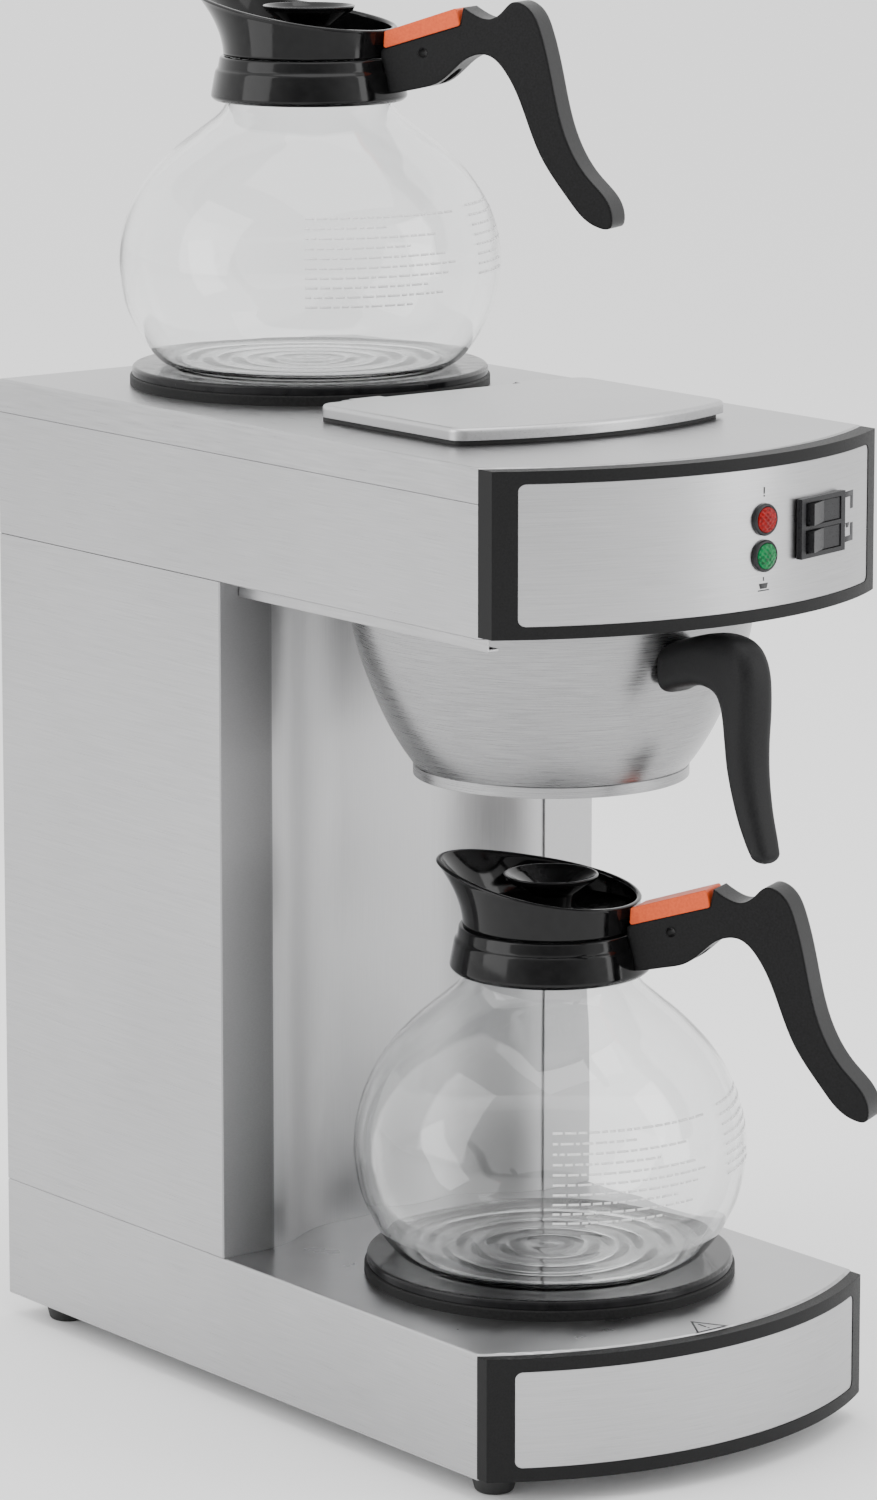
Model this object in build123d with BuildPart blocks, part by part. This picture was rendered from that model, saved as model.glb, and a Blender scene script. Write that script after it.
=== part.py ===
"""Commercial pour-over coffee brewer with two glass decanters, a warmer below and a warmer on top.

Millimetres, +Z up. The floor is z = 0, x = 0 is the machine's middle, the front faces -Y, and
y = 0 is half way between the end of the rear cable gland and the front of the basket's grip.
"""
import os
from math import asin, atan2, cos, hypot, radians, sin, sqrt

from build123d import *

# Overall sizes
body_width = 205.0
wall_length = 347.0
front_bow = 32.0
sheet = 1.0
bend_radius = 1.2
hem_radius = 0.8
grip_reach = 24.0
gland_reach = 10.0

# Heights of the stacked casings
foot_height = 10.0
base_height = 54.0
column_height = 298.0
housing_height = 55.0
cover_height = 15.0
floor_plate = 1.0

# Fascia frames and inserts
upper_frame_depth = 9.0
lower_frame_depth = 6.5
frame_gap = 0.5
frame_lip = 4.0
insert_sheet = 1.0
insert_recess = 0.3
insert_corner = 3.0
insert_gap = 0.15
upper_insert_width = 187.0
upper_insert_height = 58.0
lower_insert_width = 185.0
lower_insert_height = 41.0

# Column
column_depth = 169.0
strip_width = 27.0
splash_hollow = 17.0
splash_flat = 50.0

# Warmers
plate_radius = 79.0
plate_thickness = 4.0
ring_radius = 80.0
ring_height = 4.5
ring_bore = 66.0
boss_radius = 62.0
boss_depth = 5.0
element_outer = 55.0
element_bore = 20.0
element_height = 4.0
lower_plate_setback = 118.5
upper_plate_inset = 95.5

# Feet
foot_top_radius = 10.5
foot_tip_radius = 8.0
foot_inset_x = 17.0
foot_inset_front = 10.0
foot_inset_rear = 22.0
screw_radius = 2.0
screw_head_radius = 3.8
screw_head = 2.0

# Fill lid
lid_width = 146.0
lid_rear_gap = 23.0
lid_side_length = 97.0
lid_bow = 17.0
lid_corner = 8.0
lid_skirt = 5.2
gasket_height = 2.0
gasket_inset = 2.5
gasket_width = 5.0
lid_clearance = 0.3
pin_radius = 1.5
pin_length = 122.0
knuckle_radius = 3.0
knuckle_width = 16.0
knuckle_spacing = 90.0
ear_width = 2.0
pin_clearance = 0.05

# Water path
opening_width = 110.0
opening_length = 70.0
basin_depth = 24.0
tube_radius = 7.0
tube_wall = 1.2
tank_width = 150.0
tank_length = 110.0
tank_height = 250.0
tank_wall = 1.5
tank_lift = 12.0
spray_radius = 30.0
spray_depth = 3.5
heater_radius = 4.0

# Brew basket
basket_clearance = 4.0
seat_clearance = 0.05
basket_radius = 86.0
basket_flange = 5.5
basket_foot_radius = 58.5
basket_height = 75.0
basket_wall = 1.2
rail_lip = 5.0
rail_clearance = 0.5
rack_clearance = 0.5
grip_width = 18.0
grip_screw_radius = 2.5
grip_screw_head_radius = 4.0
grip_screw_head = 2.0
grip_screw_x = 4.5
grip_screw_drop = 14.0

# Controls
lamp_x = 14.3
lamp_radius = 6.5
lamp_spacing = 15.0
lamp_drop = 34.5
lamp_lip = 1.3
switch_x = 49.5
switch_drop = 33.2
switch_width = 33.0
switch_height = 25.0
switch_flange = 2.6
switch_lip = 1.4
switch_body_depth = 16.0
switch_end_wall = 1.7
switch_side_wall = 0.6
rocker_end_gap = 1.4
rocker_gap = 0.3
rocker_tilt = 7.0
rocker_web = 1.8
trunnion_radius = 1.0

# Cable entry
gland_x = 62.0
gland_rise = 26.0
gland_radius = 8.0
gland_bore = 4.0

# Decanters
glass_wall = 1.8
glass_foot_radius = 60.0
neck_radius = 35.5
neck_height = 149.0
collar_bottom = 124.0
collar_top = 144.0
collar_flare = 8.0
collar_wall = 3.5
collar_bevel = 2.0
collar_step = 0.8
collar_groove = 1.5
collar_clearance = 0.1
rim_low = 155.0
rim_high = 168.0
spout_overhang = 15.5
rim_back_overhang = 3.5
rim_side_overhang = 3.0
funnel_wall = 2.0
rim_wall = 1.2
rim_overcut = 0.01
cup_radius = 20.5
cup_height = 166.0
cup_bore = 4.0
cup_wall = 3.0
cup_spigot = 6.0
cup_dish = 9.0
cup_waist = 5.0
cup_lip = 1.0
shelf_inset = 1.4
shelf_thickness = 2.0
pour_slot_reach = 21.75
pour_slot_depth = 13.0
pour_slot_width = 28.0
handle_width = 14.0
handle_azimuth = -62.7
handle_bore = 2.0
handle_screw_head_radius = 3.5
handle_screw_head = 2.2
decanter_clearance = 0.3
spout_reach = neck_radius + spout_overhang
rim_back = neck_radius + rim_back_overhang
rim_half_width = neck_radius + rim_side_overhang
collar_radius = neck_radius + collar_flare
collar_top_radius = neck_radius + collar_wall
lower_shoulder_drop = 0.0
upper_shoulder_drop = 7.5

# Places worked out from the sizes
half_width = body_width / 2
bow_radius = (half_width**2 + front_bow**2) / (2 * front_bow)
total_length = gland_reach + wall_length + front_bow + upper_frame_depth + grip_reach
rear_y = total_length / 2 - gland_reach
wall_end_y = rear_y - wall_length
steel_nose_y = wall_end_y - front_bow
upper_nose_y = steel_nose_y - upper_frame_depth
lower_nose_y = steel_nose_y - lower_frame_depth
grip_front_y = upper_nose_y - grip_reach
column_front_y = rear_y - column_depth
base_bottom_z = foot_height
base_top_z = base_bottom_z + base_height
column_top_z = base_top_z + column_height
housing_top_z = column_top_z + housing_height
deck_z = housing_top_z + cover_height
brew_y = lower_nose_y + lower_plate_setback
upper_plate_y = rear_y - upper_plate_inset
insert_nose_y = upper_nose_y + insert_recess
switch_z = deck_z - switch_drop
switch_body_width = switch_width - 2 * switch_lip
switch_body_height = switch_height - 2 * switch_lip
rocker_length = switch_body_width - 2 * (switch_end_wall + rocker_end_gap)
rocker_width = (switch_body_height - rocker_web) / 2 - switch_side_wall - 2 * rocker_gap
lamp_heights = [deck_z - lamp_drop + lamp_spacing / 2, deck_z - lamp_drop - lamp_spacing / 2]
lamp_barrel_radius = lamp_radius - lamp_lip

os.makedirs("parts", exist_ok=True)


def save(piece, name):
    """Label a finished piece and write it as its own STEP file."""
    piece.part.label = name
    export_step(piece.part, f"parts/{name}.step")


def bowed_face(nose_y, back_y, inset=0.0):
    """Plan outline with straight sides and back and a round front, moved in all round by inset."""
    side_x = half_width - inset
    radius = bow_radius - inset
    corner_y = nose_y + bow_radius - sqrt(radius**2 - side_x**2)
    with BuildLine() as outline:
        ThreePointArc((-side_x, corner_y), (0, nose_y + inset), (side_x, corner_y))
        Polyline(
            (side_x, corner_y), (side_x, back_y - inset), (-side_x, back_y - inset), (-side_x, corner_y)
        )
    make_face(outline.edges())


def bowed_band(nose_y, depth):
    """Plan of a strip that follows the round front: the same arc twice, depth apart."""
    corner_y = nose_y + front_bow
    with BuildLine() as outline:
        ThreePointArc((-half_width, corner_y), (0, nose_y), (half_width, corner_y))
        Line((half_width, corner_y), (half_width, corner_y + depth))
        ThreePointArc((half_width, corner_y + depth), (0, nose_y + depth), (-half_width, corner_y + depth))
        Line((-half_width, corner_y + depth), (-half_width, corner_y))
    make_face(outline.edges())


def front_plane(x, z, nose_y):
    """Plane on the round front at x, facing out along the front's normal."""
    lean = asin(x / bow_radius)
    return Plane(
        origin=(x, nose_y + bow_radius - bow_radius * cos(lean), z),
        x_dir=(cos(lean), sin(lean), 0),
        z_dir=(sin(lean), -cos(lean), 0),
    )


# Base: an open-bottomed tray of bent sheet whose top is the lower deck
foot_places = [
    (-half_width + foot_inset_x, wall_end_y + foot_inset_front),
    (half_width - foot_inset_x, wall_end_y + foot_inset_front),
    (-half_width + foot_inset_x, rear_y - foot_inset_rear),
    (half_width - foot_inset_x, rear_y - foot_inset_rear),
]
wire_hole_radius = 12.0
wire_hole_setback = 40.0
wire_hole_y = rear_y - wire_hole_setback
with BuildPart() as base_shell:
    with BuildSketch(Plane.XY.offset(base_bottom_z + floor_plate)):
        bowed_face(steel_nose_y, rear_y)
    extrude(amount=base_height - floor_plate)
    fillet(base_shell.faces().sort_by(Axis.Z)[-1].edges(), bend_radius)
    with BuildSketch(Plane.XY.offset(base_bottom_z + floor_plate)):
        bowed_face(steel_nose_y, rear_y, sheet)
    extrude(amount=base_height - floor_plate - sheet, mode=Mode.SUBTRACT)
    with BuildSketch(Plane.XY.offset(base_top_z)):
        with Locations((0, brew_y)):
            Circle(ring_bore)
        with Locations((0, wire_hole_y)):
            Circle(wire_hole_radius)
    extrude(amount=-sheet, mode=Mode.SUBTRACT)
    with BuildSketch(Plane.XZ.offset(-rear_y)):
        with Locations((gland_x, base_bottom_z + gland_rise)):
            Circle(gland_radius)
    extrude(amount=sheet, mode=Mode.SUBTRACT)
save(base_shell, "base_shell")

with BuildPart() as base_bottom_plate:
    with BuildSketch(Plane.XY.offset(base_bottom_z)):
        bowed_face(steel_nose_y, rear_y)
        with Locations(*foot_places):
            Circle(screw_radius, mode=Mode.SUBTRACT)
    extrude(amount=floor_plate)
save(base_bottom_plate, "base_bottom_plate")

# Feet: rubber cones, each held by a screw from below
foot_names = ["foot_front_left", "foot_front_right", "foot_rear_left", "foot_rear_right"]
foot_rounding = 2.0
screw_seat = 4.0
for foot_name, (foot_x, foot_y) in zip(foot_names, foot_places):
    with BuildPart() as foot:
        with Locations((foot_x, foot_y, foot_height / 2)):
            Cone(foot_tip_radius, foot_top_radius, foot_height)
        fillet(foot.edges().group_by(Axis.Z)[0], foot_rounding)
        with BuildSketch(Plane.XY):
            with Locations((foot_x, foot_y)):
                Circle(screw_head_radius + insert_gap)
        extrude(amount=screw_seat, mode=Mode.SUBTRACT)
        with BuildSketch(Plane.XY):
            with Locations((foot_x, foot_y)):
                Circle(screw_radius)
        extrude(amount=foot_height, mode=Mode.SUBTRACT)
    save(foot, foot_name)

foot_screw_reach = 4.0
foot_screw_length = foot_height - screw_seat + screw_head + floor_plate + foot_screw_reach
with BuildPart() as foot_screws:
    with BuildSketch(Plane.XY.offset(screw_seat - screw_head)):
        with Locations(*foot_places):
            Circle(screw_head_radius)
    extrude(amount=screw_head)
    with BuildSketch(Plane.XY.offset(screw_seat - screw_head)):
        with Locations(*foot_places):
            Circle(screw_radius)
    extrude(amount=foot_screw_length)
save(foot_screws, "foot_screws")

# Column: a bent sheet of two sides, a back and two front strips, with a hollowed splash panel between
strip_x = half_width - strip_width
with BuildPart() as column_shell:
    with BuildSketch(Plane.XY.offset(base_top_z)):
        with BuildLine():
            Polyline(
                (-strip_x, column_front_y),
                (-half_width, column_front_y),
                (-half_width, rear_y),
                (half_width, rear_y),
                (half_width, column_front_y),
                (strip_x, column_front_y),
                (strip_x, column_front_y + sheet),
                (half_width - sheet, column_front_y + sheet),
                (half_width - sheet, rear_y - sheet),
                (-half_width + sheet, rear_y - sheet),
                (-half_width + sheet, column_front_y + sheet),
                (-strip_x, column_front_y + sheet),
                close=True,
            )
        make_face()
    extrude(amount=column_height)
save(column_shell, "column_shell")


strip_lap = 3.0
splash_midway = 0.58


def splash_edge(offset_y):
    """Plan points of the splash panel: a flat middle with a smooth S curve out to each front strip."""
    front = column_front_y + sheet + offset_y
    flat_x = splash_flat / 2
    end_x = strip_x + strip_lap
    return [
        (end_x, front),
        ((end_x + flat_x) / 2, front + splash_hollow * splash_midway),
        (flat_x, front + splash_hollow),
    ]


with BuildPart() as column_splash:
    with BuildSketch(Plane.XY.offset(base_top_z)):
        with BuildLine():
            ends = []
            for offset_y in (0.0, sheet):
                right = splash_edge(offset_y)
                left = [(-x, y) for x, y in right]
                Spline(*left, tangents=[(1, 0), (1, 0)])
                Line(left[-1], right[-1])
                Spline(*reversed(right), tangents=[(1, 0), (1, 0)])
                ends.append((left[0], right[0]))
            Line(ends[0][0], ends[1][0])
            Line(ends[0][1], ends[1][1])
        make_face()
    extrude(amount=column_height)
save(column_splash, "column_splash")

# Upper housing: a tray whose floor is over the brewing bay, open above the column
shaft_gap = 8.0
panel_gap = 0.5
panel_reach = 24.0
with BuildPart() as housing_shell:
    with BuildSketch(Plane.XY.offset(column_top_z)):
        bowed_face(steel_nose_y, rear_y)
    extrude(amount=housing_height)
    fillet(housing_shell.faces().sort_by(Axis.Z)[0].edges(), hem_radius)
    with BuildSketch(Plane.XY.offset(column_top_z + sheet)):
        bowed_face(steel_nose_y, rear_y, sheet)
    extrude(amount=housing_height - sheet, mode=Mode.SUBTRACT)
    with BuildSketch(Plane.XY.offset(column_top_z)):
        shaft_length = column_depth - splash_hollow - 3 * shaft_gap
        with Locations((0, rear_y - shaft_gap - shaft_length / 2)):
            Rectangle(body_width - 2 * shaft_gap, shaft_length)
        with Locations((0, brew_y)):
            Circle(spray_radius)
    extrude(amount=sheet, mode=Mode.SUBTRACT)
    with BuildSketch(front_plane(switch_x, switch_z, insert_nose_y)):
        Rectangle(switch_body_width + 2 * panel_gap, switch_body_height + 2 * panel_gap)
    extrude(amount=-panel_reach, mode=Mode.SUBTRACT)
    for lamp_z in lamp_heights:
        with BuildSketch(front_plane(lamp_x, lamp_z, insert_nose_y)):
            Circle(lamp_barrel_radius + panel_gap)
        extrude(amount=-panel_reach, mode=Mode.SUBTRACT)
save(housing_shell, "housing_shell")

# Top cover: the upper deck with a short skirt, two pairs of hinge ears and the fill opening
skirt_chamfer = 0.35
pin_setback = 2.25
pin_lift = 1.9
opening_margin = 3.0
ear_gap = 1.0
lid_rear_y = upper_plate_y - plate_radius - lid_rear_gap
pin_y = lid_rear_y + pin_setback
pin_z = deck_z + gasket_height + lid_clearance + pin_lift
opening_y = lid_rear_y - gasket_inset - gasket_width - opening_margin - opening_length / 2
ear_spacing = knuckle_spacing + knuckle_width + ear_width + 2 * ear_gap
with BuildPart() as top_cover:
    with BuildSketch(Plane.XY.offset(housing_top_z)):
        bowed_face(steel_nose_y, rear_y)
    extrude(amount=cover_height)
    fillet(top_cover.faces().sort_by(Axis.Z)[-1].edges(), bend_radius)
    chamfer(top_cover.faces().sort_by(Axis.Z)[0].edges(), skirt_chamfer)
    with BuildSketch(Plane.XY.offset(housing_top_z)):
        bowed_face(steel_nose_y, rear_y, sheet)
    extrude(amount=cover_height - sheet, mode=Mode.SUBTRACT)
    with BuildSketch(Plane.XY.offset(deck_z)):
        with Locations((0, upper_plate_y)):
            Circle(ring_bore)
        with Locations((0, opening_y)):
            Rectangle(opening_width, opening_length)
    extrude(amount=-sheet, mode=Mode.SUBTRACT)
    for ear_side in (-1, 1):
        with BuildSketch(Plane.YZ.offset(ear_side * ear_spacing / 2 - ear_width / 2)):
            with Locations((pin_y, pin_z)):
                Circle(knuckle_radius)
            with Locations((pin_y, (deck_z + pin_z) / 2)):
                Rectangle(2 * knuckle_radius, pin_z - deck_z)
            with Locations((pin_y, pin_z)):
                Circle(pin_radius, mode=Mode.SUBTRACT)
        extrude(amount=ear_width)
save(top_cover, "top_cover")


# Fascias: a moulded frame over each round front with a brushed steel insert let into it
def fascia_frame(nose_y, depth, bottom_z, top_z, insert_width, insert_height):
    """A strip that follows the round front, with a stepped window for the insert."""
    middle_z = (bottom_z + top_z) / 2
    start = -(nose_y + front_bow + depth)
    with BuildPart() as step:
        with BuildSketch(Plane.XZ.offset(start)):
            with Locations((0, middle_z)):
                RectangleRounded(
                    insert_width + 2 * insert_gap, insert_height + 2 * insert_gap, insert_corner + insert_gap
                )
        extrude(amount=front_bow + 2 * depth)
        with BuildSketch(Plane.XY.offset(bottom_z)):
            bowed_band(nose_y - depth, depth + insert_recess + insert_sheet)
        extrude(amount=top_z - bottom_z, mode=Mode.INTERSECT)
    with BuildPart() as frame:
        with BuildSketch(Plane.XY.offset(bottom_z)):
            bowed_band(nose_y, depth)
        extrude(amount=top_z - bottom_z)
        with BuildSketch(Plane.XZ.offset(start)):
            with Locations((0, middle_z)):
                RectangleRounded(insert_width - 2 * frame_lip, insert_height - 2 * frame_lip, insert_corner)
        extrude(amount=front_bow + 2 * depth, mode=Mode.SUBTRACT)
        add(step.part, mode=Mode.SUBTRACT)
    return frame


def fascia_insert(nose_y, bottom_z, top_z, insert_width, insert_height):
    """The steel sheet that lies in the frame's step, set back a little from the frame's face."""
    with BuildPart() as insert:
        with BuildSketch(Plane.XZ.offset(-nose_y - 2 * front_bow)):
            with Locations((0, (bottom_z + top_z) / 2)):
                RectangleRounded(insert_width, insert_height, insert_corner)
        extrude(amount=3 * front_bow)
        with BuildSketch(Plane.XY.offset(bottom_z)):
            bowed_band(nose_y + insert_recess, insert_sheet)
        extrude(amount=top_z - bottom_z, mode=Mode.INTERSECT)
    return insert


upper_frame_bottom_z = column_top_z + 2 * frame_gap
upper_frame_top_z = deck_z - frame_gap
lower_frame_bottom_z = base_bottom_z + frame_gap
lower_frame_top_z = base_top_z - 2 * frame_gap
upper_frame = fascia_frame(
    upper_nose_y,
    upper_frame_depth,
    upper_frame_bottom_z,
    upper_frame_top_z,
    upper_insert_width,
    upper_insert_height,
)
save(upper_frame, "upper_fascia_frame")
lower_frame = fascia_frame(
    lower_nose_y,
    lower_frame_depth,
    lower_frame_bottom_z,
    lower_frame_top_z,
    lower_insert_width,
    lower_insert_height,
)
save(lower_frame, "lower_fascia_frame")
lower_insert = fascia_insert(
    lower_nose_y, lower_frame_bottom_z, lower_frame_top_z, lower_insert_width, lower_insert_height
)
save(lower_insert, "lower_fascia_insert")

upper_insert = fascia_insert(
    upper_nose_y, upper_frame_bottom_z, upper_frame_top_z, upper_insert_width, upper_insert_height
)
insert_cut_reach = 6.0
with BuildPart() as upper_fascia_insert:
    add(upper_insert.part)
    with BuildSketch(front_plane(switch_x, switch_z, insert_nose_y)):
        Rectangle(switch_body_width + 2 * insert_gap, switch_body_height + 2 * insert_gap)
    extrude(amount=insert_cut_reach, both=True, mode=Mode.SUBTRACT)
    for lamp_z in lamp_heights:
        with BuildSketch(front_plane(lamp_x, lamp_z, insert_nose_y)):
            Circle(lamp_barrel_radius + insert_gap)
        extrude(amount=insert_cut_reach, both=True, mode=Mode.SUBTRACT)
save(upper_fascia_insert, "upper_fascia_insert")

# Indicator lamps: a rim on the insert, a faceted lens and a barrel that passes through the panel
lamp_rim = 1.2
lamp_lens = 2.6
lamp_lens_inset = 1.0
lens_taper = 20.0
lamp_barrel_length = 22.0
for lamp_z, lamp_name in zip(lamp_heights, ("red_lamp", "green_lamp")):
    lamp_plane = front_plane(lamp_x, lamp_z, insert_nose_y)
    with BuildPart() as lamp:
        with BuildSketch(lamp_plane):
            Circle(lamp_radius)
        extrude(amount=lamp_rim)
        with BuildSketch(lamp_plane.offset(lamp_rim)):
            Circle(lamp_radius - lamp_lens_inset)
        extrude(amount=lamp_lens - lamp_rim, taper=lens_taper)
        with BuildSketch(lamp_plane):
            Circle(lamp_barrel_radius)
        extrude(amount=-lamp_barrel_length)
    save(lamp, lamp_name)

# Switch: a bezel and body with two windows, and a rocker in each that tilts about an upright pivot
switch_floor = 2.0
window_length = rocker_length + 2 * rocker_end_gap
window_height = rocker_width + 2 * rocker_gap
window_pitch = window_height + rocker_web
pivot_drop = 5.0
trunnion_length = 0.7
trunnion_end_gap = 0.1
switch_face = front_plane(switch_x, switch_z, insert_nose_y)
with BuildPart() as switch_bezel:
    with BuildSketch(switch_face):
        Rectangle(switch_width, switch_height)
    extrude(amount=switch_flange)
    with BuildSketch(switch_face.offset(-switch_body_depth)):
        Rectangle(switch_body_width, switch_body_height)
    extrude(amount=switch_body_depth)
    for window_side in (-1, 1):
        with BuildSketch(switch_face.offset(switch_flange)):
            with Locations((0, window_side * window_pitch / 2)):
                Rectangle(window_length, window_height)
        extrude(amount=-(switch_flange + switch_body_depth - switch_floor), mode=Mode.SUBTRACT)
        trunnion_plane = Plane(
            origin=switch_face.from_local_coords(Vector(0, window_side * window_pitch / 2, -pivot_drop)),
            x_dir=switch_face.x_dir,
            z_dir=Vector(0, 0, 1),
        )
        with BuildSketch(trunnion_plane):
            Circle(trunnion_radius + pin_clearance)
        extrude(amount=window_height / 2 + trunnion_length + trunnion_end_gap, both=True, mode=Mode.SUBTRACT)
save(switch_bezel, "switch_bezel")

rocker_sink = 0.4
rocker_face_lift = switch_flange - rocker_sink
rocker_bottom = -9.0
for window_side, rocker_name in ((1, "rocker_upper"), (-1, "rocker_lower")):
    pivot = switch_face.from_local_coords(Vector(0, window_side * window_pitch / 2, -pivot_drop))
    turn = radians(rocker_tilt)
    along = switch_face.x_dir * cos(turn) - switch_face.z_dir * sin(turn)
    rocker_plane = Plane(origin=pivot, x_dir=along, z_dir=Vector(0, 0, -1))
    end_rise = rocker_length / 2 * sin(turn) / cos(turn)
    centre_rise = pivot_drop + rocker_face_lift
    with BuildPart() as rocker:
        with BuildSketch(rocker_plane.offset(-rocker_width / 2)):
            with BuildLine():
                Polyline(
                    (-rocker_length / 2, rocker_bottom + pivot_drop),
                    (rocker_length / 2, rocker_bottom + pivot_drop),
                    (rocker_length / 2, centre_rise + end_rise),
                    (0, centre_rise),
                    (-rocker_length / 2, centre_rise + end_rise),
                    close=True,
                )
            make_face()
        extrude(amount=rocker_width)
        with BuildSketch(rocker_plane):
            Circle(trunnion_radius)
        extrude(amount=rocker_width / 2 + rocker_gap + trunnion_length, both=True)
    save(rocker, rocker_name)

# Warmers: a matt ring on the deck, a glossy plate with a boss through it, and the element below
ring_rounding = 0.8
plate_rounding = 1.5
for warmer, warmer_y, warmer_z in (("lower", brew_y, base_top_z), ("upper", upper_plate_y, deck_z)):
    with BuildPart() as ring:
        with BuildSketch(Plane.XY.offset(warmer_z)):
            with Locations((0, warmer_y)):
                Circle(ring_radius)
                Circle(ring_bore, mode=Mode.SUBTRACT)
        extrude(amount=ring_height)
        fillet(ring.faces().sort_by(Axis.Z)[-1].edges().sort_by(SortBy.LENGTH)[-1], ring_rounding)
    save(ring, f"{warmer}_warmer_ring")
    with BuildPart() as plate:
        with BuildSketch(Plane.XY.offset(warmer_z + ring_height)):
            with Locations((0, warmer_y)):
                Circle(plate_radius)
        extrude(amount=plate_thickness)
        fillet(plate.edges().sort_by(Axis.Z)[-1], plate_rounding)
        with BuildSketch(Plane.XY.offset(warmer_z + ring_height)):
            with Locations((0, warmer_y)):
                Circle(boss_radius)
        extrude(amount=-(ring_height + boss_depth))
    save(plate, f"{warmer}_warmer_plate")
    with BuildPart() as element:
        with BuildSketch(Plane.XY.offset(warmer_z - boss_depth)):
            with Locations((0, warmer_y)):
                Circle(element_outer)
                Circle(element_bore, mode=Mode.SUBTRACT)
        extrude(amount=-element_height)
    save(element, f"{warmer}_warmer_element")

# Fill lid, its seal and its hinge pin
lid_rounding = 1.8
lid_rear_cut = 2.0
knuckle_lap = 1.0


def lid_outline(inset):
    """Plan of the lid: straight rear and sides, a bowed front and rounded corners, moved in by inset."""
    side_x = lid_width / 2 - inset
    back_y = lid_rear_y - inset
    corner_y = lid_rear_y - lid_side_length + inset
    with BuildLine() as outline:
        ThreePointArc((-side_x, corner_y), (0, corner_y - lid_bow), (side_x, corner_y))
        Polyline((side_x, corner_y), (side_x, back_y), (-side_x, back_y), (-side_x, corner_y))
    make_face(outline.edges())


with BuildPart() as fill_gasket:
    with BuildSketch(Plane.XY.offset(deck_z)) as gasket_plan:
        lid_outline(gasket_inset)
        fillet(gasket_plan.vertices().group_by(Axis.Y)[0], lid_corner - gasket_inset)
    extrude(amount=gasket_height)
    with BuildSketch(Plane.XY.offset(deck_z)):
        lid_outline(gasket_inset + gasket_width)
    extrude(amount=gasket_height, mode=Mode.SUBTRACT)
save(fill_gasket, "fill_gasket")

lid_bottom_z = deck_z + gasket_height + lid_clearance
knuckle_root_y = lid_rear_y - lid_rounding - knuckle_lap
with BuildPart() as lid:
    with BuildSketch(Plane.XY.offset(lid_bottom_z)) as lid_plan:
        lid_outline(0.0)
        fillet(lid_plan.vertices(), lid_corner)
    extrude(amount=lid_skirt)
    fillet(lid.faces().sort_by(Axis.Z)[-1].edges(), lid_rounding)
    with BuildSketch(Plane.XY.offset(lid_bottom_z)) as lid_hollow:
        lid_outline(sheet)
        fillet(lid_hollow.vertices(), lid_corner - sheet)
    extrude(amount=lid_skirt - sheet, mode=Mode.SUBTRACT)
    with BuildSketch(Plane.XY.offset(lid_bottom_z)):
        with Locations((0, lid_rear_y)):
            Rectangle(lid_width - 2 * lid_corner, 2 * lid_rear_cut)
    extrude(amount=lid_skirt - sheet, mode=Mode.SUBTRACT)
    for knuckle_side in (-1, 1):
        knuckle_plane = Plane.YZ.offset(knuckle_side * knuckle_spacing / 2 - knuckle_width / 2)
        with BuildSketch(knuckle_plane):
            with Locations((pin_y, pin_z)):
                Circle(knuckle_radius)
            with Locations(((pin_y + knuckle_root_y) / 2, lid_bottom_z + lid_skirt - sheet / 2)):
                Rectangle(pin_y - knuckle_root_y, sheet)
            with Locations((pin_y, pin_z)):
                Circle(pin_radius + pin_clearance, mode=Mode.SUBTRACT)
        extrude(amount=knuckle_width)
save(lid, "lid")

with BuildPart() as lid_hinge_pin:
    with BuildSketch(Plane.YZ.offset(-pin_length / 2)):
        with Locations((pin_y, pin_z)):
            Circle(pin_radius)
    extrude(amount=pin_length)
save(lid_hinge_pin, "lid_hinge_pin")

# Water path: fill basin under the lid, down-tube, tank with its heater, riser and spray head
drain_x = 36.0
drain_y = opening_y
basin_radius = 12.0
basin_bottom_z = deck_z - sheet - basin_depth
tank_bottom_z = base_top_z + tank_lift
tank_top_z = tank_bottom_z + tank_height
tank_setback = 9.5
tank_y = rear_y - sheet - tank_setback - tank_length / 2
port_y = tank_y - tank_length / 4
fill_run_drop = 14.0
fill_run_z = basin_bottom_z - fill_run_drop
basin_flange = 5.0
with BuildPart() as fill_basin:
    with BuildSketch(Plane.XY.offset(basin_bottom_z)):
        with Locations((0, opening_y)):
            RectangleRounded(opening_width, opening_length, basin_radius)
    extrude(amount=basin_depth)
    with BuildSketch(Plane.XY.offset(deck_z - sheet)):
        with Locations((0, opening_y)):
            Rectangle(opening_width + 2 * basin_flange, opening_length + 2 * basin_flange)
    extrude(amount=-sheet)
    with BuildSketch(Plane.XY.offset(basin_bottom_z + sheet)):
        with Locations((0, opening_y)):
            RectangleRounded(opening_width - 2 * sheet, opening_length - 2 * sheet, basin_radius - sheet)
    extrude(amount=basin_depth, mode=Mode.SUBTRACT)
    with BuildSketch(Plane.XY.offset(basin_bottom_z)):
        with Locations((drain_x, drain_y)):
            Circle(tube_radius - tube_wall)
    extrude(amount=sheet, mode=Mode.SUBTRACT)
save(fill_basin, "fill_basin")

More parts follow.
